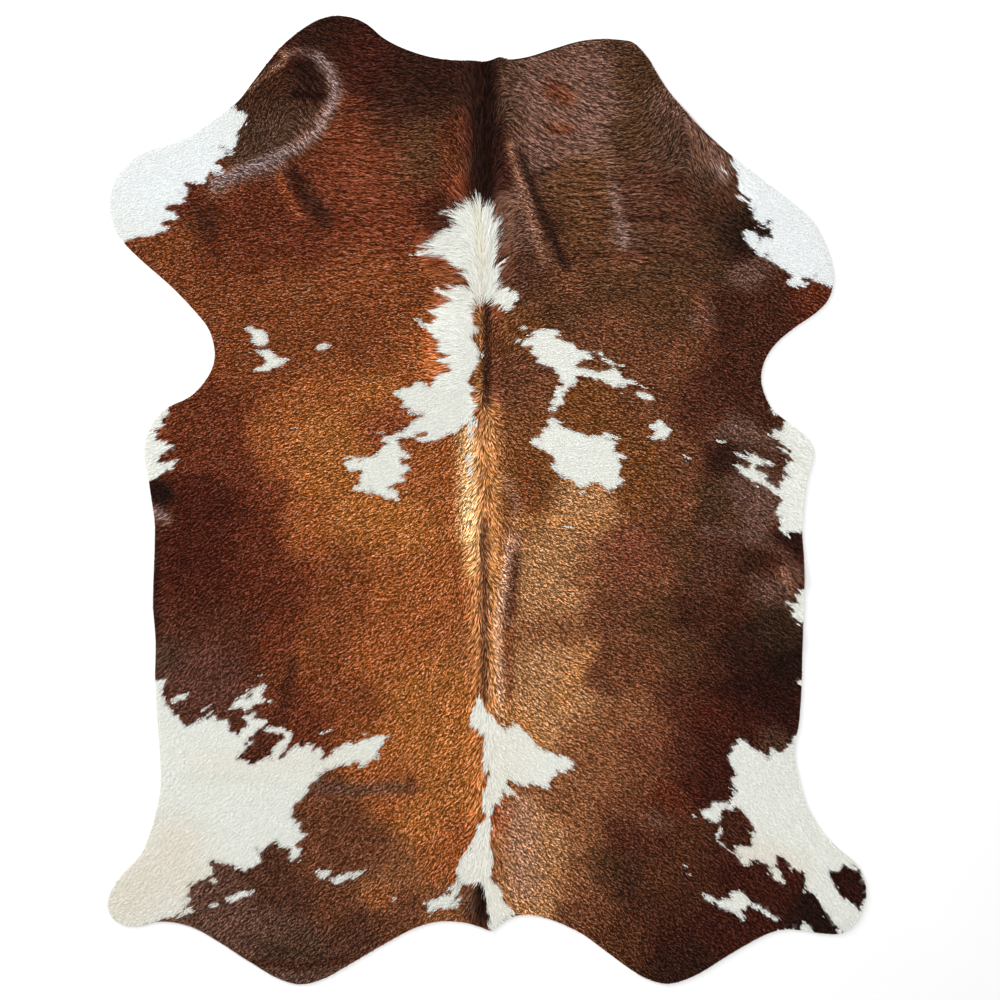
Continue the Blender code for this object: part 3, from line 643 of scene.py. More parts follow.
def soften(chart, times):
    """Blurs a chart a little, the given number of times."""
    for _ in range(times):
        for axis in (0, 1):
            padded = np.concatenate(
                [np.take(chart, [0], axis), chart, np.take(chart, [-1], axis)], axis)
            size = chart.shape[axis]
            before = np.take(padded, range(size), axis)
            after = np.take(padded, range(2, size + 2), axis)
            chart = (before + 2 * chart + after) / 4
    return chart


def on_hide(pixels):
    """Photograph pixels as metres on the rug."""
    away = (np.asarray(pixels, float) - HIDE_MIDDLE) * PIXEL
    return away * np.array([1.0, -1.0])


def as_pixels(points):
    """Metres on the rug as photograph pixels."""
    return np.asarray(points)[..., :2] * np.array([1.0, -1.0]) / PIXEL + HIDE_MIDDLE


def unit(ways):
    """Ways of any length, made one long."""
    return ways / np.maximum(np.linalg.norm(ways, axis=-1, keepdims=True), 1e-9)


def window(path, margin, step, shape):
    """The rows and columns of a chart that lie within a margin of a path."""
    path = np.asarray(path, float)
    low = np.floor((path.min(axis=0) - margin - CHART_CORNER) / step).astype(int)
    high = np.ceil((path.max(axis=0) + margin - CHART_CORNER) / step).astype(int) + 1
    left, top = np.maximum(low, 0)
    right, bottom = np.minimum(high, [shape[1], shape[0]])
    return slice(top, bottom), slice(left, right)


def distance_to_path(points, path):
    """The distance of each point to a path of straight runs."""
    path = np.asarray(path, float)
    best = np.full(points.shape[:-1], np.inf)
    for start, end in zip(path[:-1], path[1:]):
        run = end - start
        share = np.clip((points - start) @ run / max(run @ run, 1e-9), 0.0, 1.0)
        gap = points - (start + share[..., None] * run)
        best = np.minimum(best, np.hypot(gap[..., 0], gap[..., 1]))
    return best


def fade(distance, reach):
    """1 on a stroke, falling smoothly to 0 at its reach."""
    return 0.5 + 0.5 * np.cos(math.pi * np.clip(distance / reach, 0.0, 1.0))


def paint(chart, points, step, strokes, tones=None):
    """Paints strokes one over another on a chart; with tones, each names the one it puts down."""
    for _place, value, strength, reach, path in strokes:
        where = window(path, reach, step, chart.shape)
        cover = strength * fade(distance_to_path(points[where], path), reach)
        if tones:
            cover = cover[..., None]
            value = np.array(tones[value], float)
        chart[where] = chart[where] * (1 - cover) + value * cover
    return chart


def enclosed(points, outline):
    """Whether each point lies within a closed outline."""
    inside = np.zeros(points.shape[:-1], dtype=bool)
    x, y = points[..., 0], points[..., 1]
    for start, end in zip(outline, np.roll(outline, -1, axis=0)):
        if start[1] == end[1]:
            continue
        spans = (start[1] > y) != (end[1] > y)
        crossing = start[0] + (y - start[1]) * (end[0] - start[0]) / (end[1] - start[1])
        inside ^= spans & (x < crossing)
    return inside


def depth_inside(points, outline):
    """How far each point lies inside a closed outline; below 0 outside it."""
    outline = np.asarray(outline, float)
    gap = distance_to_path(points, np.vstack([outline, outline[:1]]))
    return np.where(enclosed(points, outline), gap, -gap)


def linear(tone, lift=1.0):
    """A tone of 0 to 255 as the linear colour that a shader takes."""
    shown = (np.asarray(tone, float) / 255) ** (1 / lift)
    return np.where(shown <= 0.04045, shown / 12.92, ((shown + 0.055) / 1.055) ** 2.4)


def blend(points, places):
    """The mean of values placed as (x, y, reach, value), each weighing most close by."""
    total = 0.0
    weights = 0.0
    for x, y, reach, value in places:
        gap = np.hypot(points[..., 0] - x, points[..., 1] - y)[..., None]
        weight = np.exp(-(gap / reach) ** 2) + FAR_WEIGHT / (1 + (gap / FAR_REACH) ** 4)
        total = total + weight * value
        weights = weights + weight
    return total / weights


def tone_chart():
    """The browns, with painted shade in creases and hollows and painted sheen on ridges."""
    points = chart_points(MEDIUM)
    chart = blend(points, [
        (x, y, TONE_REACH * reach, np.array(TONES[tone], float))
        for tone, places in BROAD_TONES.items() for x, y, reach in places])
    paint(chart, points, MEDIUM, TONE_STROKES, TONES)
    return linear(soften(chart, TONE_SOFTENING), TONE_LIFT)


def white_chart():
    """The whites, which show where the patch chart says so."""
    points = chart_points(COARSE)
    chart = np.full(points.shape[:2] + (3,), WHITES["white"], float)
    return linear(paint(chart, points, COARSE, WHITE_STROKES, WHITES))


def patch_chart():
    """How many pixels each point lies inside the white, and how ragged its border is."""
    points = chart_points(FINE)
    chart = np.full(points.shape[:2], -PATCH_MARGIN)
    calm = np.ones_like(chart)
    for outline in WHITE_PATCHES.values():
        where = window(outline, PATCH_MARGIN, FINE, chart.shape)
        depth = depth_inside(points[where], outline)
        chart[where] = np.maximum(chart[where], depth)
        across = np.ptp(np.array(outline), axis=0).max()
        if across < SMALL_PATCH:
            share = TICK_CALM if across < TICK else SMALL_PATCH_CALM
            calm[where] = np.where(depth > -CALM_MARGIN, share, calm[where])
    for outline in BROWN_ISLANDS.values():
        where = window(outline, PATCH_MARGIN, FINE, chart.shape)
        chart[where] = np.minimum(chart[where], -depth_inside(points[where], outline))
    return np.clip(chart, -PATCH_MARGIN, PATCH_MARGIN), calm


def length_chart():
    points = chart_points(COARSE)
    return paint(np.full(points.shape[:2], BODY_HAIR), points, COARSE, LENGTH_STROKES)


def flow_chart():
    """The way that the hair lies, as unit steps in pixels."""
    places = []
    for x, y, heading, reach in FLOW:
        turn = math.radians(heading)
        places.append((x, y, reach, np.array([math.cos(turn), -math.sin(turn)])))
    return unit(blend(chart_points(COARSE), places))


def heading_at(flow, pixels):
    return unit(read_chart(flow, COARSE, pixels))


def streak_chart(flow, random, softening, length, widest=0):
    """Random streaks that follow the hair: softened noise, drawn out along the flow.

    Blotches wider than `widest` softenings are evened out, or none where it is 0."""
    points = chart_points(FINE)
    grain = soften(random.normal(size=points.shape[:2]), softening)
    total = grain.copy()
    for sign in (1.0, -1.0):
        at = points.copy()
        for _ in range(length):
            at = at + sign * heading_at(flow, at)
            total += read_chart(grain, FINE, at)
    if widest:
        total -= soften(total, widest)
    return (total - total.mean()) / total.std()


# ---------------------------------------------------------------- the skin's own shape
WELD = 0.001 * MM            # corners of the frame's hide that are closer are one
FACING_DOWN = -0.5           # faces of its underside have a normal that points lower
CURVE_POINTS = 9             # from one knot of the outline to the next
EDGE_CARRY = 8               # chart steps that the edge's height is carried outwards
LIFT_SOFTENING = 5           # times
CREASE_OVERRUN = 1.15        # of a crease's half length, where it has faded out
CREASE_BLUNTNESS = 3         # the power that its height falls off with
EDGE_LIMIT = 30.0 * MM       # as far as the distance to the cut edge is measured
EDGE_RUN = 12                # points of the outline that are measured together
EDGE_THINNING = 3            # of those points, one in this many tells inside from outside
UNDERFUR_RAMP = 12.0 * MM    # from the cut edge to the underfur's full height


def frame_shape():
    """The frame's hide as a search tree, and its cut edge as a loop of points."""
    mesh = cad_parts["hide"].data
    corners = np.array([tuple(vertex.co) for vertex in mesh.vertices])
    keys = [tuple(key) for key in np.round(corners / WELD).astype(np.int64)]
    welded = {key: index for index, key in reversed(list(enumerate(keys)))}
    faces = [[welded[keys[index]] for index in face.vertices] for face in mesh.polygons]
    tree = BVHTree.FromPolygons([Vector(corner) for corner in corners], faces)
    below = {}
    for face, polygon in zip(faces, mesh.polygons):
        if polygon.normal.z < FACING_DOWN:
            for start, end in zip(face, face[1:] + face[:1]):
                below[(start, end)] = True
    after = {start: end for start, end in below if (end, start) not in below}
    first = next(iter(after))
    loop = [first]
    while after[loop[-1]] != first:
        loop.append(after[loop[-1]])
    return tree, corners[loop][:, :2]


def smooth_loop(knots, step):
    """Evenly spaced points on the smooth closed curve through the knots."""
    chain = []
    count = len(knots)
    for index in range(count):
        before, here, there, after = (knots[(index + k) % count] for k in (-1, 0, 1, 2))
        handles = [here, here + (there - before) / 6, there - (after - here) / 6, there]
        piece = geometry.interpolate_bezier(*[Vector(handle) for handle in handles], CURVE_POINTS)
        chain += [tuple(point)[:2] for point in piece[:-1]]
    chain.append(chain[0])
    chain = np.array(chain)
    reach = np.concatenate([[0.0], np.cumsum(np.linalg.norm(np.diff(chain, axis=0), axis=1))])
    at = np.linspace(0.0, reach[-1], round(reach[-1] / step) + 1)[:-1]
    return np.column_stack([np.interp(at, reach, chain[:, axis]) for axis in range(2)])


def lift_chart(tree):
    """How far the skin's underside stands off the floor, smooth."""
    places = on_hide(chart_points(MEDIUM))
    heights = np.full(places.shape[:2], np.nan)
    up = Vector((0, 0, 1))
    for spot in np.ndindex(heights.shape):
        hit = tree.ray_cast(Vector((*places[spot], -1.0)), up)[0]
        if hit is not None:
            heights[spot] = hit.z
    neighbours = ((0, 1), (0, -1), (1, 0), (-1, 0))
    for _ in range(EDGE_CARRY):
        known = ~np.isnan(heights)
        filled = np.where(known, heights, 0.0)
        total = sum(np.roll(filled, shift, (0, 1)) for shift in neighbours)
        count = sum(np.roll(known.astype(float), shift, (0, 1)) for shift in neighbours)
        carried = np.where(count > 0, total / np.maximum(count, 1), np.nan)
        heights = np.where(known, heights, carried)
    return soften(np.nan_to_num(heights), LIFT_SOFTENING)


def crease_chart():
    """How far the fine creases raise or sink the skin's upper side."""
    points = chart_points(MEDIUM)
    heights = np.zeros(points.shape[:2])
    for _place, height, reach, path in CREASES:
        reach_px = reach / PIXEL
        where = window(path, reach_px, MEDIUM, heights.shape)
        ends = np.asarray(path, float)
        middle = (ends[0] + ends[-1]) / 2
        half = max(np.linalg.norm(ends[-1] - ends[0]) / 2, 1.0)
        outward = np.linalg.norm(points[where] - middle, axis=-1) / (CREASE_OVERRUN * half)
        taper = 1 - np.clip(outward, 0, 1) ** CREASE_BLUNTNESS
        heights[where] += height * taper * fade(distance_to_path(points[where], path), reach_px)
    return heights


def edge_chart(outline):
    """How far each point lies inside the cut edge, in metres, up to a limit."""
    points = chart_points(MEDIUM)
    places = on_hide(points)
    gaps = np.full(points.shape[:2], EDGE_LIMIT)
    loop = np.vstack([outline, outline[:1]])
    for start in range(0, len(outline), EDGE_RUN):
        run = loop[start:start + EDGE_RUN + 1]
        where = window(as_pixels(run), EDGE_LIMIT / PIXEL, MEDIUM, gaps.shape)
        gaps[where] = np.minimum(gaps[where], distance_to_path(places[where], run))
    inside = enclosed(places, outline[::EDGE_THINNING])
    return np.where(inside, gaps, -gaps)


class Hide:
    """The charts that all pieces of the rug are built from."""

    def __init__(self):
        random = np.random.default_rng(SEED)
        tree, rim = frame_shape()
        self.outline = smooth_loop(rim, RIM_STEP)
        self.edge = edge_chart(self.outline)
        self.lift = lift_chart(tree)
        self.crease = crease_chart()
        self.flow = flow_chart()
        self.tone = tone_chart()
        self.white = white_chart()
        self.patch, self.calm = patch_chart()
        self.length = length_chart()
        broad = self.broad_share()
        self.streak = streak_chart(self.flow, random, *FINE_STREAKS) * (1 - broad)
        self.streak += streak_chart(self.flow, random, *BROAD_STREAKS) * broad
        self.streak *= 1 + BROAD_CONTRAST * broad
        self.wisp = streak_chart(self.flow, random, *WISPS)
        self.spike = streak_chart(self.flow, random, *SPIKES)
        self.mottle = streak_chart(self.flow, random, *MOTTLING)

    def broad_share(self):
        points = chart_points(FINE)
        return paint(np.full(points.shape[:2], LEAST_BROAD), points, FINE, STREAK_STROKES)

    def inside(self, points):
        """How far points lie inside the cut edge, in metres."""
        return read_chart(self.edge, MEDIUM, as_pixels(points))

    def underside(self, points):
        return np.maximum(read_chart(self.lift, MEDIUM, as_pixels(points)), 0.0)

    def top(self, points):
        """The height of the skin's upper side, under the locks."""
        full = np.clip(self.inside(points) / UNDERFUR_RAMP, 0.0, 1.0)
        crease = read_chart(self.crease, MEDIUM, as_pixels(points))
        return self.underside(points) + LEATHER + crease + UNDERFUR * full * (2 - full)

    def whiteness(self, pixels):
        """Pixels inside the white, and the ragged border that the lying hair gives it."""
        ragged = WISP_RAGGED * read_chart(self.wisp, FINE, pixels)
        ragged += SPIKE_RAGGED * read_chart(self.spike, FINE, pixels) - WHITE_INSET
        return read_chart(self.patch, FINE, pixels), ragged * read_chart(self.calm, FINE, pixels)


# ---------------------------------------------------------------- materials
NOISE_MIDDLE = (0.3, 0.7)    # most of a noise lies between these
HAIR_TINTS = (0.78, 1.2)     # the darkest and brightest share of a lock's colour
HAIR_ROUGHNESS = (0.5, 0.68)
FUZZ_TINTS = (0.6, 1.15)     # of the underfur's colour
NAP_TINTS = (0.85, 1.1)      # of the suede's
SUEDE_TONES = ((0.36, 0.29, 0.22), (0.55, 0.48, 0.39))
EDGE_TONES = ((0.30, 0.23, 0.16), (0.58, 0.50, 0.40))
EDGE_SQUASH = (90.0, 90.0, 1400.0)   # draws the noise into thin flat layers
FLOOR_TONES = ((0.93, 0.93, 0.93), (0.95, 0.95, 0.95))


def set_inputs(made, values):
    for name, value in values.items():
        made.inputs[name.replace("_", " ")].default_value = value


def new_material(name, **surface):
    """A material, its node tree and its surface shader, with that shader's plain values."""
    material = bpy.data.materials.new(name)
    material.use_nodes = True
    shader = material.node_tree.nodes["Principled BSDF"]
    set_inputs(shader, surface)
    return material, material.node_tree, shader


def add_node(tree, kind, sources, **values):
    """A node with plain values on some inputs and other nodes' outputs on the rest."""
    made = tree.nodes.new(kind)
    set_inputs(made, values)
    for name, source in sources.items():
        tree.links.new(source, made.inputs[name])
    return made


def object_place(tree):
    return add_node(tree, "ShaderNodeTexCoord", {}).outputs["Object"]


def stored(tree, attribute, output):
    """What a mesh says at each point under an attribute's name."""
    made = add_node(tree, "ShaderNodeAttribute", {})
    made.attribute_name = attribute
    return made.outputs[output]


def add_noise(tree, place, scale, detail, roughness):
    return add_node(tree, "ShaderNodeTexNoise", {"Vector": place}, Scale=scale, Detail=detail,
                    Roughness=roughness).outputs["Fac"]


def spread(tree, factor, bounds):
    """A noise, stretched so that its middle runs between the two bounds."""
    low, high = NOISE_MIDDLE
    return add_node(tree, "ShaderNodeMapRange", {"Value": factor}, From_Min=low, From_Max=high,
                    To_Min=bounds[0], To_Max=bounds[1]).outputs["Result"]


def between(tree, factor, tones, positions=NOISE_MIDDLE):
    """A colour that runs from the first tone to the second as the factor rises."""
    made = add_node(tree, "ShaderNodeValToRGB", {"Fac": factor})
    for element, position, tone in zip(made.color_ramp.elements, positions, tones):
        element.position = position
        element.color = (*tone, 1)
    return made.outputs["Color"]


def tinted(tree, colour, factor):
    """A colour times a factor."""
    made = tree.nodes.new("ShaderNodeMix")
    made.data_type = "RGBA"
    made.blend_type = "MULTIPLY"
    made.inputs["Factor"].default_value = 1.0
    tree.links.new(colour, made.inputs["A"])
    tree.links.new(factor, made.inputs["B"])
    return made.outputs["Result"]


def finish_surface(tree, shader, colour, height, strength, depth):
    """Joins a colour to the surface shader, and a bump of the given height."""
    tree.links.new(colour, shader.inputs["Base Color"])
    raised = add_node(tree, "ShaderNodeBump", {"Height": height}, Strength=strength, Distance=depth)
    tree.links.new(raised.outputs["Normal"], shader.inputs["Normal"])


def hair_material():
    """Lying hair: the lock's colour, painted shade and sheen included, split into fine hairs along
    its length.
    """
    material, tree, shader = new_material("cow_hair", Specular_IOR_Level=0.06)
    strand = stored(tree, "strand", "Vector")
    fine = add_noise(tree, strand, scale=1.0, detail=2.0, roughness=0.6)
    colour = tinted(tree, stored(tree, "coat", "Color"), spread(tree, fine, HAIR_TINTS))
    tree.links.new(spread(tree, fine, HAIR_ROUGHNESS), shader.inputs["Roughness"])
    finish_surface(tree, shader, colour, fine, strength=0.35, depth=0.6 * MM)
    return material


def underfur_material():
    """Dense short hair at the roots of the locks."""
    material, tree, shader = new_material("cow_underfur", Roughness=0.9, Specular_IOR_Level=0.1)
    fuzz = add_noise(tree, object_place(tree), scale=900.0, detail=3.0, roughness=0.7)
    colour = tinted(tree, stored(tree, "coat", "Color"), spread(tree, fuzz, FUZZ_TINTS))
    finish_surface(tree, shader, colour, fuzz, strength=0.6, depth=1.0 * MM)
    return material


def suede_material():
    """The flesh side: brushed pale suede with cloudy darker areas."""
    material, tree, shader = new_material(
        "hide_suede", Roughness=0.95, Sheen_Weight=0.25, Sheen_Roughness=0.6)
    place = object_place(tree)
    cloud = add_noise(tree, place, scale=5.0, detail=5.0, roughness=0.6)
    nap = add_noise(tree, place, scale=420.0, detail=4.0, roughness=0.75)
    colour = tinted(tree, between(tree, cloud, SUEDE_TONES), spread(tree, nap, NAP_TINTS))
    finish_surface(tree, shader, colour, nap, strength=0.5, depth=0.8 * MM)
    return material


def cut_edge_material():
    """The raw edge of the leather, in thin layers."""
    material, tree, shader = new_material("hide_cut_edge", Roughness=0.85)
    squash = add_node(tree, "ShaderNodeMapping", {"Vector": object_place(tree)}, Scale=EDGE_SQUASH)
    layers = add_noise(tree, squash.outputs["Vector"], scale=1.0, detail=3.0, roughness=0.6)
    colour = between(tree, layers, EDGE_TONES)
    finish_surface(tree, shader, colour, layers, strength=0.5, depth=0.5 * MM)
    return material


def floor_material():
    material, tree, shader = new_material("pale_floor", Roughness=0.9, Specular_IOR_Level=0.0)
    grain = add_noise(tree, object_place(tree), scale=3.0, detail=2.0, roughness=0.5)
    colour = between(tree, grain, FLOOR_TONES, positions=(0.0, 1.0))
    tree.links.new(colour, shader.inputs["Base Color"])
    return material


# ---------------------------------------------------------------- meshes
SCATTER = 0.42               # of the spacing, that roots of hair are moved at random
UNDERFUR_SHADE = 0.30        # of the brown tone, in the shadow of the locks
UNDERFUR_WHITE = 0.82        # of the white tone
UNDERFUR_FADE = (0.6, 2.0)   # pixels inside the white between which the underfur pales
SHARP_EDGE = math.radians(50)
CELL_MARGIN = 0.1            # of a lock's own cell in the map of its mesh
GRAIN_ACROSS = 3.2           # hairs across a lock, in the noise of its material
GRAIN_ALONG = 1.4            # steps of that noise from root to tip
GRAIN_SPAN = 900.0           # over which the locks are spread in that noise


def add_object(name, data):
    made = bpy.data.objects.new(name, data)
    bpy.context.scene.collection.objects.link(made)
    return made


def colour_points(mesh, colour):
    """Stores the coat's colour on the points of a mesh."""
    rgba = np.ones((len(mesh.vertices), 4), np.float32)
    rgba[:, :3] = colour.reshape(-1, 3)
    layer = mesh.color_attributes.new(name="coat", type="FLOAT_COLOR", domain="POINT")
    layer.data.foreach_set("color", rgba.ravel())


def honeycomb(hide, step, margin, random=None):
    """Points over the hide in even rows, at least a margin inside its cut edge."""
    low = hide.outline.min(axis=0)
    high = hide.outline.max(axis=0)
    xs = np.arange(low[0], high[0], step)
    ys = np.arange(low[1], high[1], step * math.sqrt(3) / 2)
    points = np.stack(np.meshgrid(xs, ys), axis=-1)
    points[1::2, :, 0] += step / 2
    points = points.reshape(-1, 2)
    if random is not None:
        points = points + random.uniform(-SCATTER, SCATTER, points.shape) * step
    return points[hide.inside(points) > margin]


def triangulate(outline, inner):
    """Triangles over an outline and the points within it."""
    points = np.vstack([outline, inner])
    loop = list(range(len(outline)))
    flat, _edges, faces, _a, _b, _c = geometry.delaunay_2d_cdt(
        [Vector(point) for point in points], [], [loop], 1, 1e-7)
    return np.array([tuple(point) for point in flat]), np.array(faces)


def turns_left(first, second, third):
    """Whether the way over three points bends to the left."""
    ahead = second - first
    aside = third - first
    return ahead[0] * aside[1] > ahead[1] * aside[0]


def underfur_colour(hide, points):
    """Root colour of the coat: the tone in shadow, or dull white."""
    pixels = as_pixels(points)
    inside_white, ragged = hide.whiteness(pixels)
    share = np.interp(inside_white + ragged, UNDERFUR_FADE, (0, 1))[:, None]
    brown = UNDERFUR_SHADE * read_chart(hide.tone, MEDIUM, pixels)
    white = UNDERFUR_WHITE * read_chart(hide.white, COARSE, pixels)
    return brown * (1 - share) + white * share


def build_skin(hide, materials):
    """The skin: hairy top, raw cut edge and suede underside, as one closed sheet."""
    top, upper = triangulate(hide.outline, honeycomb(hide, TOP_STEP, TOP_MARGIN))
    low, lower = triangulate(hide.outline, honeycomb(hide, UNDERSIDE_STEP, UNDERSIDE_MARGIN))
    lower = lower[:, ::-1] + len(top)
    if not turns_left(*top[upper[0]]):
        upper = upper[:, ::-1]
        lower = lower[:, ::-1]
    here = np.arange(len(hide.outline))
    there = np.roll(here, -1)
    walls = np.column_stack([here + len(top), there + len(top), there, here])
    if not turns_left(top[0], top[1], hide.outline.mean(axis=0)):
        walls = walls[:, ::-1]

    heights = np.concatenate([hide.top(top), hide.underside(low)])
    vertices = np.column_stack([np.vstack([top, low]), heights])
    mesh = bpy.data.meshes.new("hide_skin")
    mesh.from_pydata(vertices.tolist(), [], [*upper.tolist(), *walls.tolist(), *lower.tolist()])
    mesh.shade_smooth()
    kinds = np.repeat(range(len(materials)), [len(upper), len(walls), len(lower)])
    mesh.polygons.foreach_set("material_index", kinds)
    colour_points(mesh, underfur_colour(hide, vertices))
    mesh.set_sharp_from_angle(angle=SHARP_EDGE)
    for material in materials:
        mesh.materials.append(material)
    return add_object("hide_skin", mesh)


def lock_corners(centre, half_width, roll):
    """Corners of flat locks along their centres: the root, pairs at the knots and the tip."""
    count, knots, _ = centre.shape
    run = unit(centre[:, 2:] - centre[:, :-2])
    side = unit(np.stack([run[..., 1], -run[..., 0], np.zeros(run.shape[:2])], axis=-1))
    rise = np.cross(side, run)
    across = side * np.cos(roll)[:, None, None] + rise * np.sin(roll)[:, None, None]
    across *= half_width[..., None]
    corners = np.empty((count, 2 * knots - 2, 3), np.float32)
    corners[:, 0] = centre[:, 0]
    corners[:, 1:-1:2] = centre[:, 1:-1] - across
    corners[:, 2:-1:2] = centre[:, 1:-1] + across
    corners[:, -1] = centre[:, -1]
    return corners


def lock_mesh(name, corners):
    """A mesh of locks from their corners, and the corners that its faces run over."""
    count, per_lock, _ = corners.shape
    tip = per_lock - 1
    faces = [[0, 2, 1]]
    faces += [[left, left + 1, left + 3, left + 2] for left in range(1, tip - 2, 2)]
    faces += [[tip - 2, tip - 1, tip]]
    lock = np.arange(count)[:, None]
    pattern = np.concatenate(faces)
    loops = (pattern + per_lock * lock).ravel()
    starts = np.cumsum([0] + [len(face) for face in faces[:-1]])
    starts = (starts + len(pattern) * lock).ravel()

    mesh = bpy.data.meshes.new(name)
    mesh.vertices.add(count * per_lock)
    mesh.vertices.foreach_set("co", corners.ravel())
    mesh.loops.add(len(loops))
    mesh.loops.foreach_set("vertex_index", loops.astype(np.int32))
    mesh.polygons.add(len(starts))
    mesh.polygons.foreach_set("loop_start", starts.astype(np.int32))
    mesh.update(calc_edges=True)
    mesh.validate()
    mesh.shade_smooth()
    return mesh, loops


def hair_mesh(name, centre, half_width, roll, colour, strand_id, material):
    """One mesh of flat locks, each along its own line of knots, pointed at root and tip."""
    count, knots, _ = centre.shape
    mesh, loops = lock_mesh(name, lock_corners(centre, half_width, roll))
    knot = np.concatenate([[0], np.repeat(np.arange(1, knots - 1), 2), [knots - 1]])
    along = knot / (knots - 1)
    aside = np.concatenate([[0.5], np.tile([0.0, 1.0], knots - 2), [0.5]])

    cells = math.ceil(math.sqrt(count))
    cell = np.stack([np.arange(count) % cells, np.arange(count) // cells], axis=-1)[:, None]
    within = CELL_MARGIN + (1 - 2 * CELL_MARGIN) * np.column_stack([aside, along])
    places = ((cell + within) / cells).reshape(-1, 2)
    layer = mesh.uv_layers.new(name="OFBake")
    layer.data.foreach_set("uv", places[loops].astype(np.float32).ravel())

    colour_points(mesh, colour[:, knot])
    spot = np.empty((count, len(knot), 3), np.float32)
    spot[..., 0] = GRAIN_ACROSS * aside
    spot[..., 1] = GRAIN_ALONG * along
    spot[..., 2] = strand_id[:, None]
    strand = mesh.attributes.new(name="strand", type="FLOAT_VECTOR", domain="POINT")
    strand.data.foreach_set("vector", spot.ravel())
    mesh.materials.append(material)
    return add_object(name, mesh)


# ---------------------------------------------------------------- the coat
class Growth(NamedTuple):
    """How one kind of hair grows. Ranges are shares of the length or width, drawn at random."""

    spacing: float
    margin: float            # of the roots inside the cut edge
    segments: int
    lengths: tuple
    wobble: float            # radians that a hair turns off the flow
    wave: float              # radians that the wisps turn it
    width: float
    widths: tuple
    taper: tuple             # places along the hair, and the share of the width there
    roll: float              # radians


SHORT = Growth(
    spacing=2.95 * MM, margin=0.5 * MM, segments=2, lengths=(0.78, 1.18), wobble=0.13, wave=0.10,
    width=1.45 * MM, widths=(0.75, 1.2), taper=((0, 1), (1.0, 1.0)), roll=0.42)
LONG = Growth(
    spacing=3.0 * MM, margin=1.0 * MM, segments=6, lengths=(0.65, 1.1), wobble=0.16, wave=0.16,
    width=1.2 * MM, widths=(0.6, 1.2), taper=((0, 0.3, 1), (0.8, 1.0, 0.3)), roll=0.5)
LONG_FROM = 26.0 * MM        # charted length from which long hair grows
ROOT_DEPTH = 0.4 * MM
MIDDLE_RISE = (0.9, 2.1)     # of short locks over the underfur, in millimetres
TIP_RISE = (1.0, 3.0)
LONG_PEAK = (0.05, 0.16)     # rise of long hair, as a share of its length
LONG_ARCH = 0.86             # share of a full arch that it makes
LONG_ROUNDNESS = 0.8         # the power of that arch
COAT_PIECES = ("coat_neck", "coat_shoulders", "coat_barrel", "coat_loins", "coat_rump")
LONG_PIECES = [
    # name, seed, first and last row of pixels
    ("mane_hair", 2, 0, 196),
    ("crest_hair", 3, 196, 400),
    ("tail_hair", 4, 860, 1000),
]

OVERHANG = 1.5 * MM          # how far hair tips may pass the cut edge
DRAW_BACKS = 4               # times that a hair past it is shortened
LEAST_KEPT = 0.2             # of its length, each time
CLUMP_REACH = 1.2            # pixels to each side where the streaks are compared
CLUMP_LIMIT = 1.6            # of the difference that counts
CLUMP_PULL = 0.3             # pixels that tips lean for each step of it
CLUMP_CURVE = 1.5            # the power that the lean grows with, from root to tip
CLUMP_RISE = 0.45 * MM       # of a bright streak over the rest

BORDER_JITTER = 0.3          # pixels that the white's border moves from lock to lock
STREAK_LIMITS = (-2.2, 2.4)  # as far as a streak darkens or brightens
STREAK_CONTRAST = 0.8
LOCK_CONTRAST = 0.88         # from one lock to the next
SPARK = 0.8                  # added to some locks
SPARK_SHARE = 1 / 8          # of the locks
LIGHT_LIMITS = (-1.9, 2.1)
BRIGHTEST = 0.6              # past this, a lock only shines more
MOTTLE_CONTRAST = 0.06       # of wide faint blotches
BROWN_GAIN = np.array([1.2, 1.13, 0.97])
GLEAM = 0.34                 # how much the brightest locks shine
GLEAM_WHITE = 0.38           # share of white in that shine
BORDER_SHADE = np.array([0.86, 0.74, 0.64])   # on brown hair beside the white
BORDER_REACH = 4.0           # pixels from the white where it ends
WHITE_STREAK_CONTRAST = 0.05
WHITE_LOCK_CONTRAST = 0.03
WHITEST = 0.92               # no white lock is brighter
RAMP_PLACES = (0.0, 0.5, 1.0)    # root, middle and tip
# Painted shade at the roots and painted light at the tips, as shares of each lock's colour
BROWN_SHADE_RAMP = (0.3, 1.0, 1.3)
WHITE_SHADE_RAMP = (0.88, 1.0, 1.02)


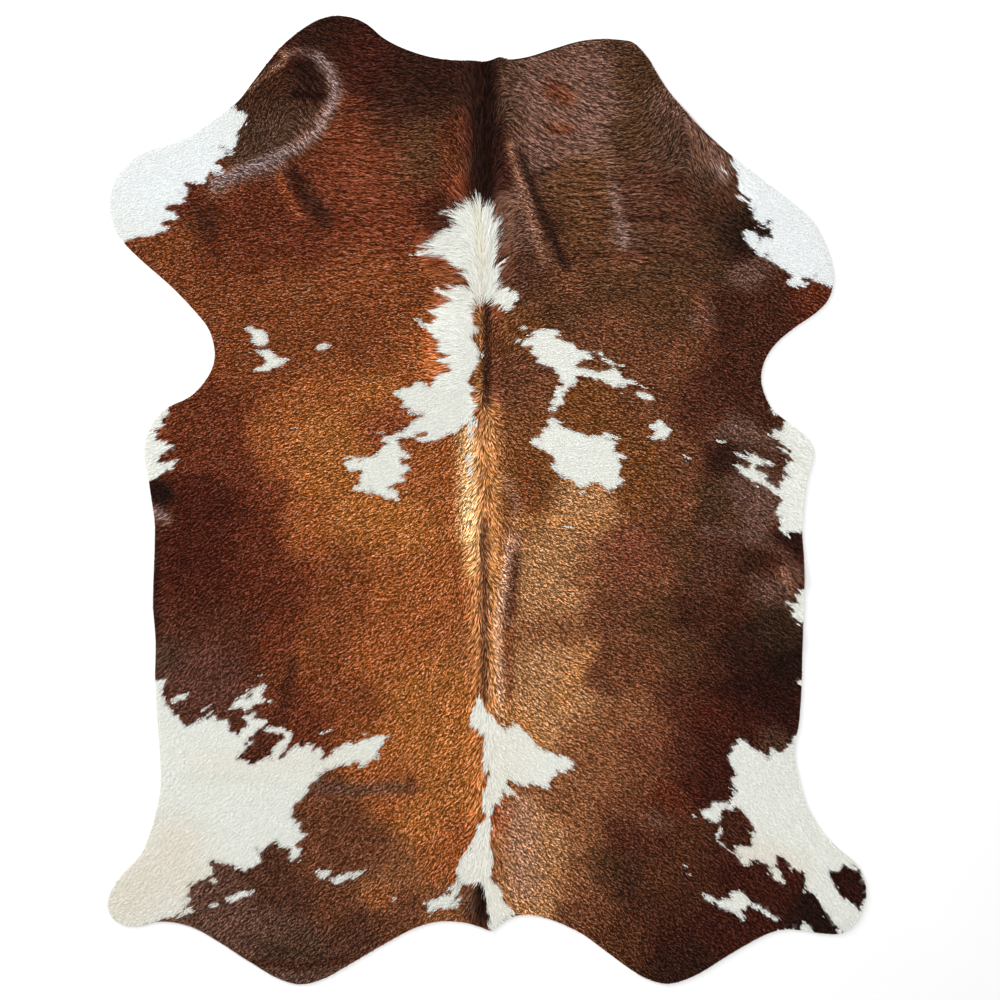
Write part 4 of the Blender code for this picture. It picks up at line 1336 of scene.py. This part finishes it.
def lock_colour(hide, pixels, random, knots):
    """Colour of each lock at its knots, from root to tip, with painted shade at the root, painted
    light at the tip and a painted gleam on the brightest locks.
    """
    count = len(pixels)
    inside_white, ragged = hide.whiteness(pixels)
    is_white = inside_white + ragged + random.normal(0, BORDER_JITTER, count) > 0
    streak = np.clip(read_chart(hide.streak, FINE, pixels), *STREAK_LIMITS)
    mottle = read_chart(hide.mottle, FINE, pixels)
    own = random.normal(0, 1, count)
    spark = SPARK * (random.uniform(0, 1, count) < SPARK_SHARE)

    brown = BROWN_GAIN * read_chart(hide.tone, MEDIUM, pixels)
    brown = brown * np.exp(MOTTLE_CONTRAST * mottle)[:, None]
    light = STREAK_CONTRAST * streak + LOCK_CONTRAST * own + spark
    light = np.clip(light, *LIGHT_LIMITS)[:, None]
    strongest = brown.max(axis=1, keepdims=True)
    gleam = GLEAM * np.maximum(light, 0) ** 2 * strongest
    hue = brown / strongest * (1 - GLEAM_WHITE) + GLEAM_WHITE
    brown = brown * np.exp(np.minimum(light, BRIGHTEST)) + gleam * hue
    near = np.clip(1 + inside_white / BORDER_REACH, 0, 1)[:, None]
    brown = brown * (1 - (1 - BORDER_SHADE) * near)

    white = read_chart(hide.white, COARSE, pixels)
    white = white * np.exp(WHITE_STREAK_CONTRAST * streak + WHITE_LOCK_CONTRAST * own)[:, None]
    base = np.where(is_white[:, None], np.minimum(white, WHITEST), brown)

    along = np.linspace(0, 1, knots)
    # Painted shade towards each lock's root, painted light towards its tip
    shade_ramps = np.where(
        is_white[:, None],
        np.interp(along, RAMP_PLACES, WHITE_SHADE_RAMP), np.interp(along, RAMP_PLACES, BROWN_SHADE_RAMP))
    return base[:, None, :] * shade_ramps[..., None]


def follow(hide, roots, length, segments, wobble):
    """Points along hairs that lie the way of the coat, in metres on the rug."""
    step = (length / segments / PIXEL)[:, None]
    path = [as_pixels(roots)]
    for _ in range(segments):
        x, y = heading_at(hide.flow, path[-1]).T
        way = np.column_stack([
            x * np.cos(wobble) - y * np.sin(wobble), x * np.sin(wobble) + y * np.cos(wobble)])
        path.append(path[-1] + way * step)
    return on_hide(np.stack(path, axis=1))


def within_edge(hide, path, random):
    """Draws back the hairs that would reach far past the cut edge."""
    root = path[:, :1]
    slack = OVERHANG * random.uniform(0, 1, len(path))
    for _ in range(DRAW_BACKS):
        over = np.maximum(-hide.inside(path[:, -1]) - slack, 0)
        reach = np.linalg.norm(path[:, -1] - path[:, 0], axis=-1)
        keep = np.clip(1 - over / np.maximum(reach, 1e-6), LEAST_KEPT, 1)[:, None, None]
        path = root + (path - root) * keep
    return path


def lean_together(hide, path):
    """Draws the locks' ends towards the streak that they belong to."""
    pixels = as_pixels(path[:, -1])
    way = heading_at(hide.flow, pixels)
    aside = np.column_stack([-way[:, 1], way[:, 0]])
    slope = (read_chart(hide.streak, FINE, pixels + CLUMP_REACH * aside)
             - read_chart(hide.streak, FINE, pixels - CLUMP_REACH * aside))
    pull = CLUMP_PULL * np.clip(slope, -CLUMP_LIMIT, CLUMP_LIMIT)[:, None] * aside
    shift = pull * np.array([1.0, -1.0]) * PIXEL
    share = np.linspace(0, 1, path.shape[1]) ** CLUMP_CURVE
    return path + shift[:, None, :] * share[None, :, None]


def grow(hide, growth, roots, length, random):
    """Hairs from their roots, as knots on the rug, and their lengths."""
    count = len(roots)
    length = length * random.uniform(*growth.lengths, count)
    wobble = random.normal(0, growth.wobble, count)
    wobble += growth.wave * read_chart(hide.wisp, FINE, as_pixels(roots))
    path = lean_together(hide, follow(hide, roots, length, growth.segments, wobble))
    return within_edge(hide, path, random), length


def hair_pieces(hide, growth, path, rise, parts, material, random):
    """Meshes of hairs over their knots; the parts are names with the hairs that each one has."""
    count, knots, _ = path.shape
    centre = np.concatenate([path, (hide.top(path) + rise)[..., None]], axis=-1)
    half_width = growth.width / 2 * random.uniform(*growth.widths, (count, 1))
    half_width = half_width * np.interp(np.linspace(0, 1, knots)[1:-1], *growth.taper)
    roll = random.normal(0, growth.roll, count)
    colour = lock_colour(hide, as_pixels(path[:, -2]), random, knots)
    strand_id = random.uniform(0, GRAIN_SPAN, count)
    return [
        hair_mesh(name, centre[part], half_width[part], roll[part], colour[part],
                  strand_id[part], material)
        for name, part in parts]


def build_coat(hide, material):
    """The short coat, in pieces from neck to rump."""
    random = np.random.default_rng(SEED + 1)
    roots = honeycomb(hide, SHORT.spacing, SHORT.margin, random)
    length = read_chart(hide.length, COARSE, as_pixels(roots))
    path, _ = grow(hide, SHORT, roots, np.minimum(length, LONG_FROM), random)
    count = len(roots)
    clump = CLUMP_RISE * read_chart(hide.streak, FINE, as_pixels(path[:, 1]))
    rise = np.column_stack([
        np.full(count, -ROOT_DEPTH),
        random.uniform(*MIDDLE_RISE, count) * MM + clump,
        random.uniform(*TIP_RISE, count) * MM + clump])
    order = np.argsort(-roots[:, 1], kind="stable")
    parts = zip(COAT_PIECES, np.array_split(order, len(COAT_PIECES)))
    return hair_pieces(hide, SHORT, path, rise, parts, material, random)


def build_long_hair(hide, name, seed, first_row, last_row, material):
    """The long hair of one place: the mane, the crest or the tail."""
    random = np.random.default_rng(SEED + seed)
    roots = honeycomb(hide, LONG.spacing, LONG.margin, random)
    pixels = as_pixels(roots)
    length = read_chart(hide.length, COARSE, pixels)
    kept = (length > LONG_FROM) & (pixels[:, 1] > first_row) & (pixels[:, 1] <= last_row)
    path, length = grow(hide, LONG, roots[kept], length[kept], random)
    share = np.linspace(0, 1, LONG.segments + 1)
    arch = np.sin(math.pi * (share * LONG_ARCH)) ** LONG_ROUNDNESS
    peak = random.uniform(*LONG_PEAK, len(path)) * length
    rise = peak[:, None] * arch - ROOT_DEPTH * (share == 0)
    return hair_pieces(hide, LONG, path, rise, [(name, slice(None))], material, random)


# ---------------------------------------------------------------- stage
FLOOR_SIDE = 30.0
FLOOR_DROP = 0.3 * MM        # of the floor under the rug
DAYLIGHT = 0.54
LIGHTS = [
    # name, size, power, place
    ("softbox", 3.0, 92.0, (-0.2, 0.3, 4.2)),
    ("window", 2.4, 380.0, (-5.5, 4.5, 3.2)),
]
CAMERA_HEIGHT = 7.0
SENSOR_WIDTH = 36.0          # millimetres, as the focal length


def build_stage():
    bpy.ops.mesh.primitive_plane_add(size=FLOOR_SIDE, location=(0, 0, -FLOOR_DROP))
    floor = bpy.context.object
    floor.name = "floor"
    floor.data.materials.append(floor_material())

    world = bpy.data.worlds.new("studio")
    bpy.context.scene.world = world
    world.use_nodes = True
    set_inputs(world.node_tree.nodes["Background"], {"Color": (1, 1, 1, 1), "Strength": DAYLIGHT})

    for name, size, power, place in LIGHTS:
        data = bpy.data.lights.new(name, "AREA")
        data.shape = "SQUARE"
        data.size = size
        data.energy = power
        light = add_object(name, data)
        light.location = place
        light.rotation_euler = (-Vector(place)).to_track_quat("-Z", "Y").to_euler()


def build_camera():
    """Straight above, so that the photograph's pixels fall where the charts put them."""
    data = bpy.data.cameras.new("camera")
    data.sensor_width = SENSOR_WIDTH
    data.lens = SENSOR_WIDTH * CAMERA_HEIGHT / (PHOTO_SIDE * PIXEL)
    camera = add_object("camera", data)
    camera.location = (*on_hide((PHOTO_SIDE / 2, PHOTO_SIDE / 2)), CAMERA_HEIGHT)
    bpy.context.scene.camera = camera
    bpy.context.scene.view_settings.view_transform = "Standard"


def main():
    build_camera()
    build_stage()
    hide = Hide()
    skin = build_skin(hide, [underfur_material(), cut_edge_material(), suede_material()])
    hair = hair_material()
    coat = build_coat(hide, hair)
    for place in LONG_PIECES:
        coat += build_long_hair(hide, *place, hair)

    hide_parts("hide")
    for piece in [skin, *coat]:
        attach(piece, "root")


main()
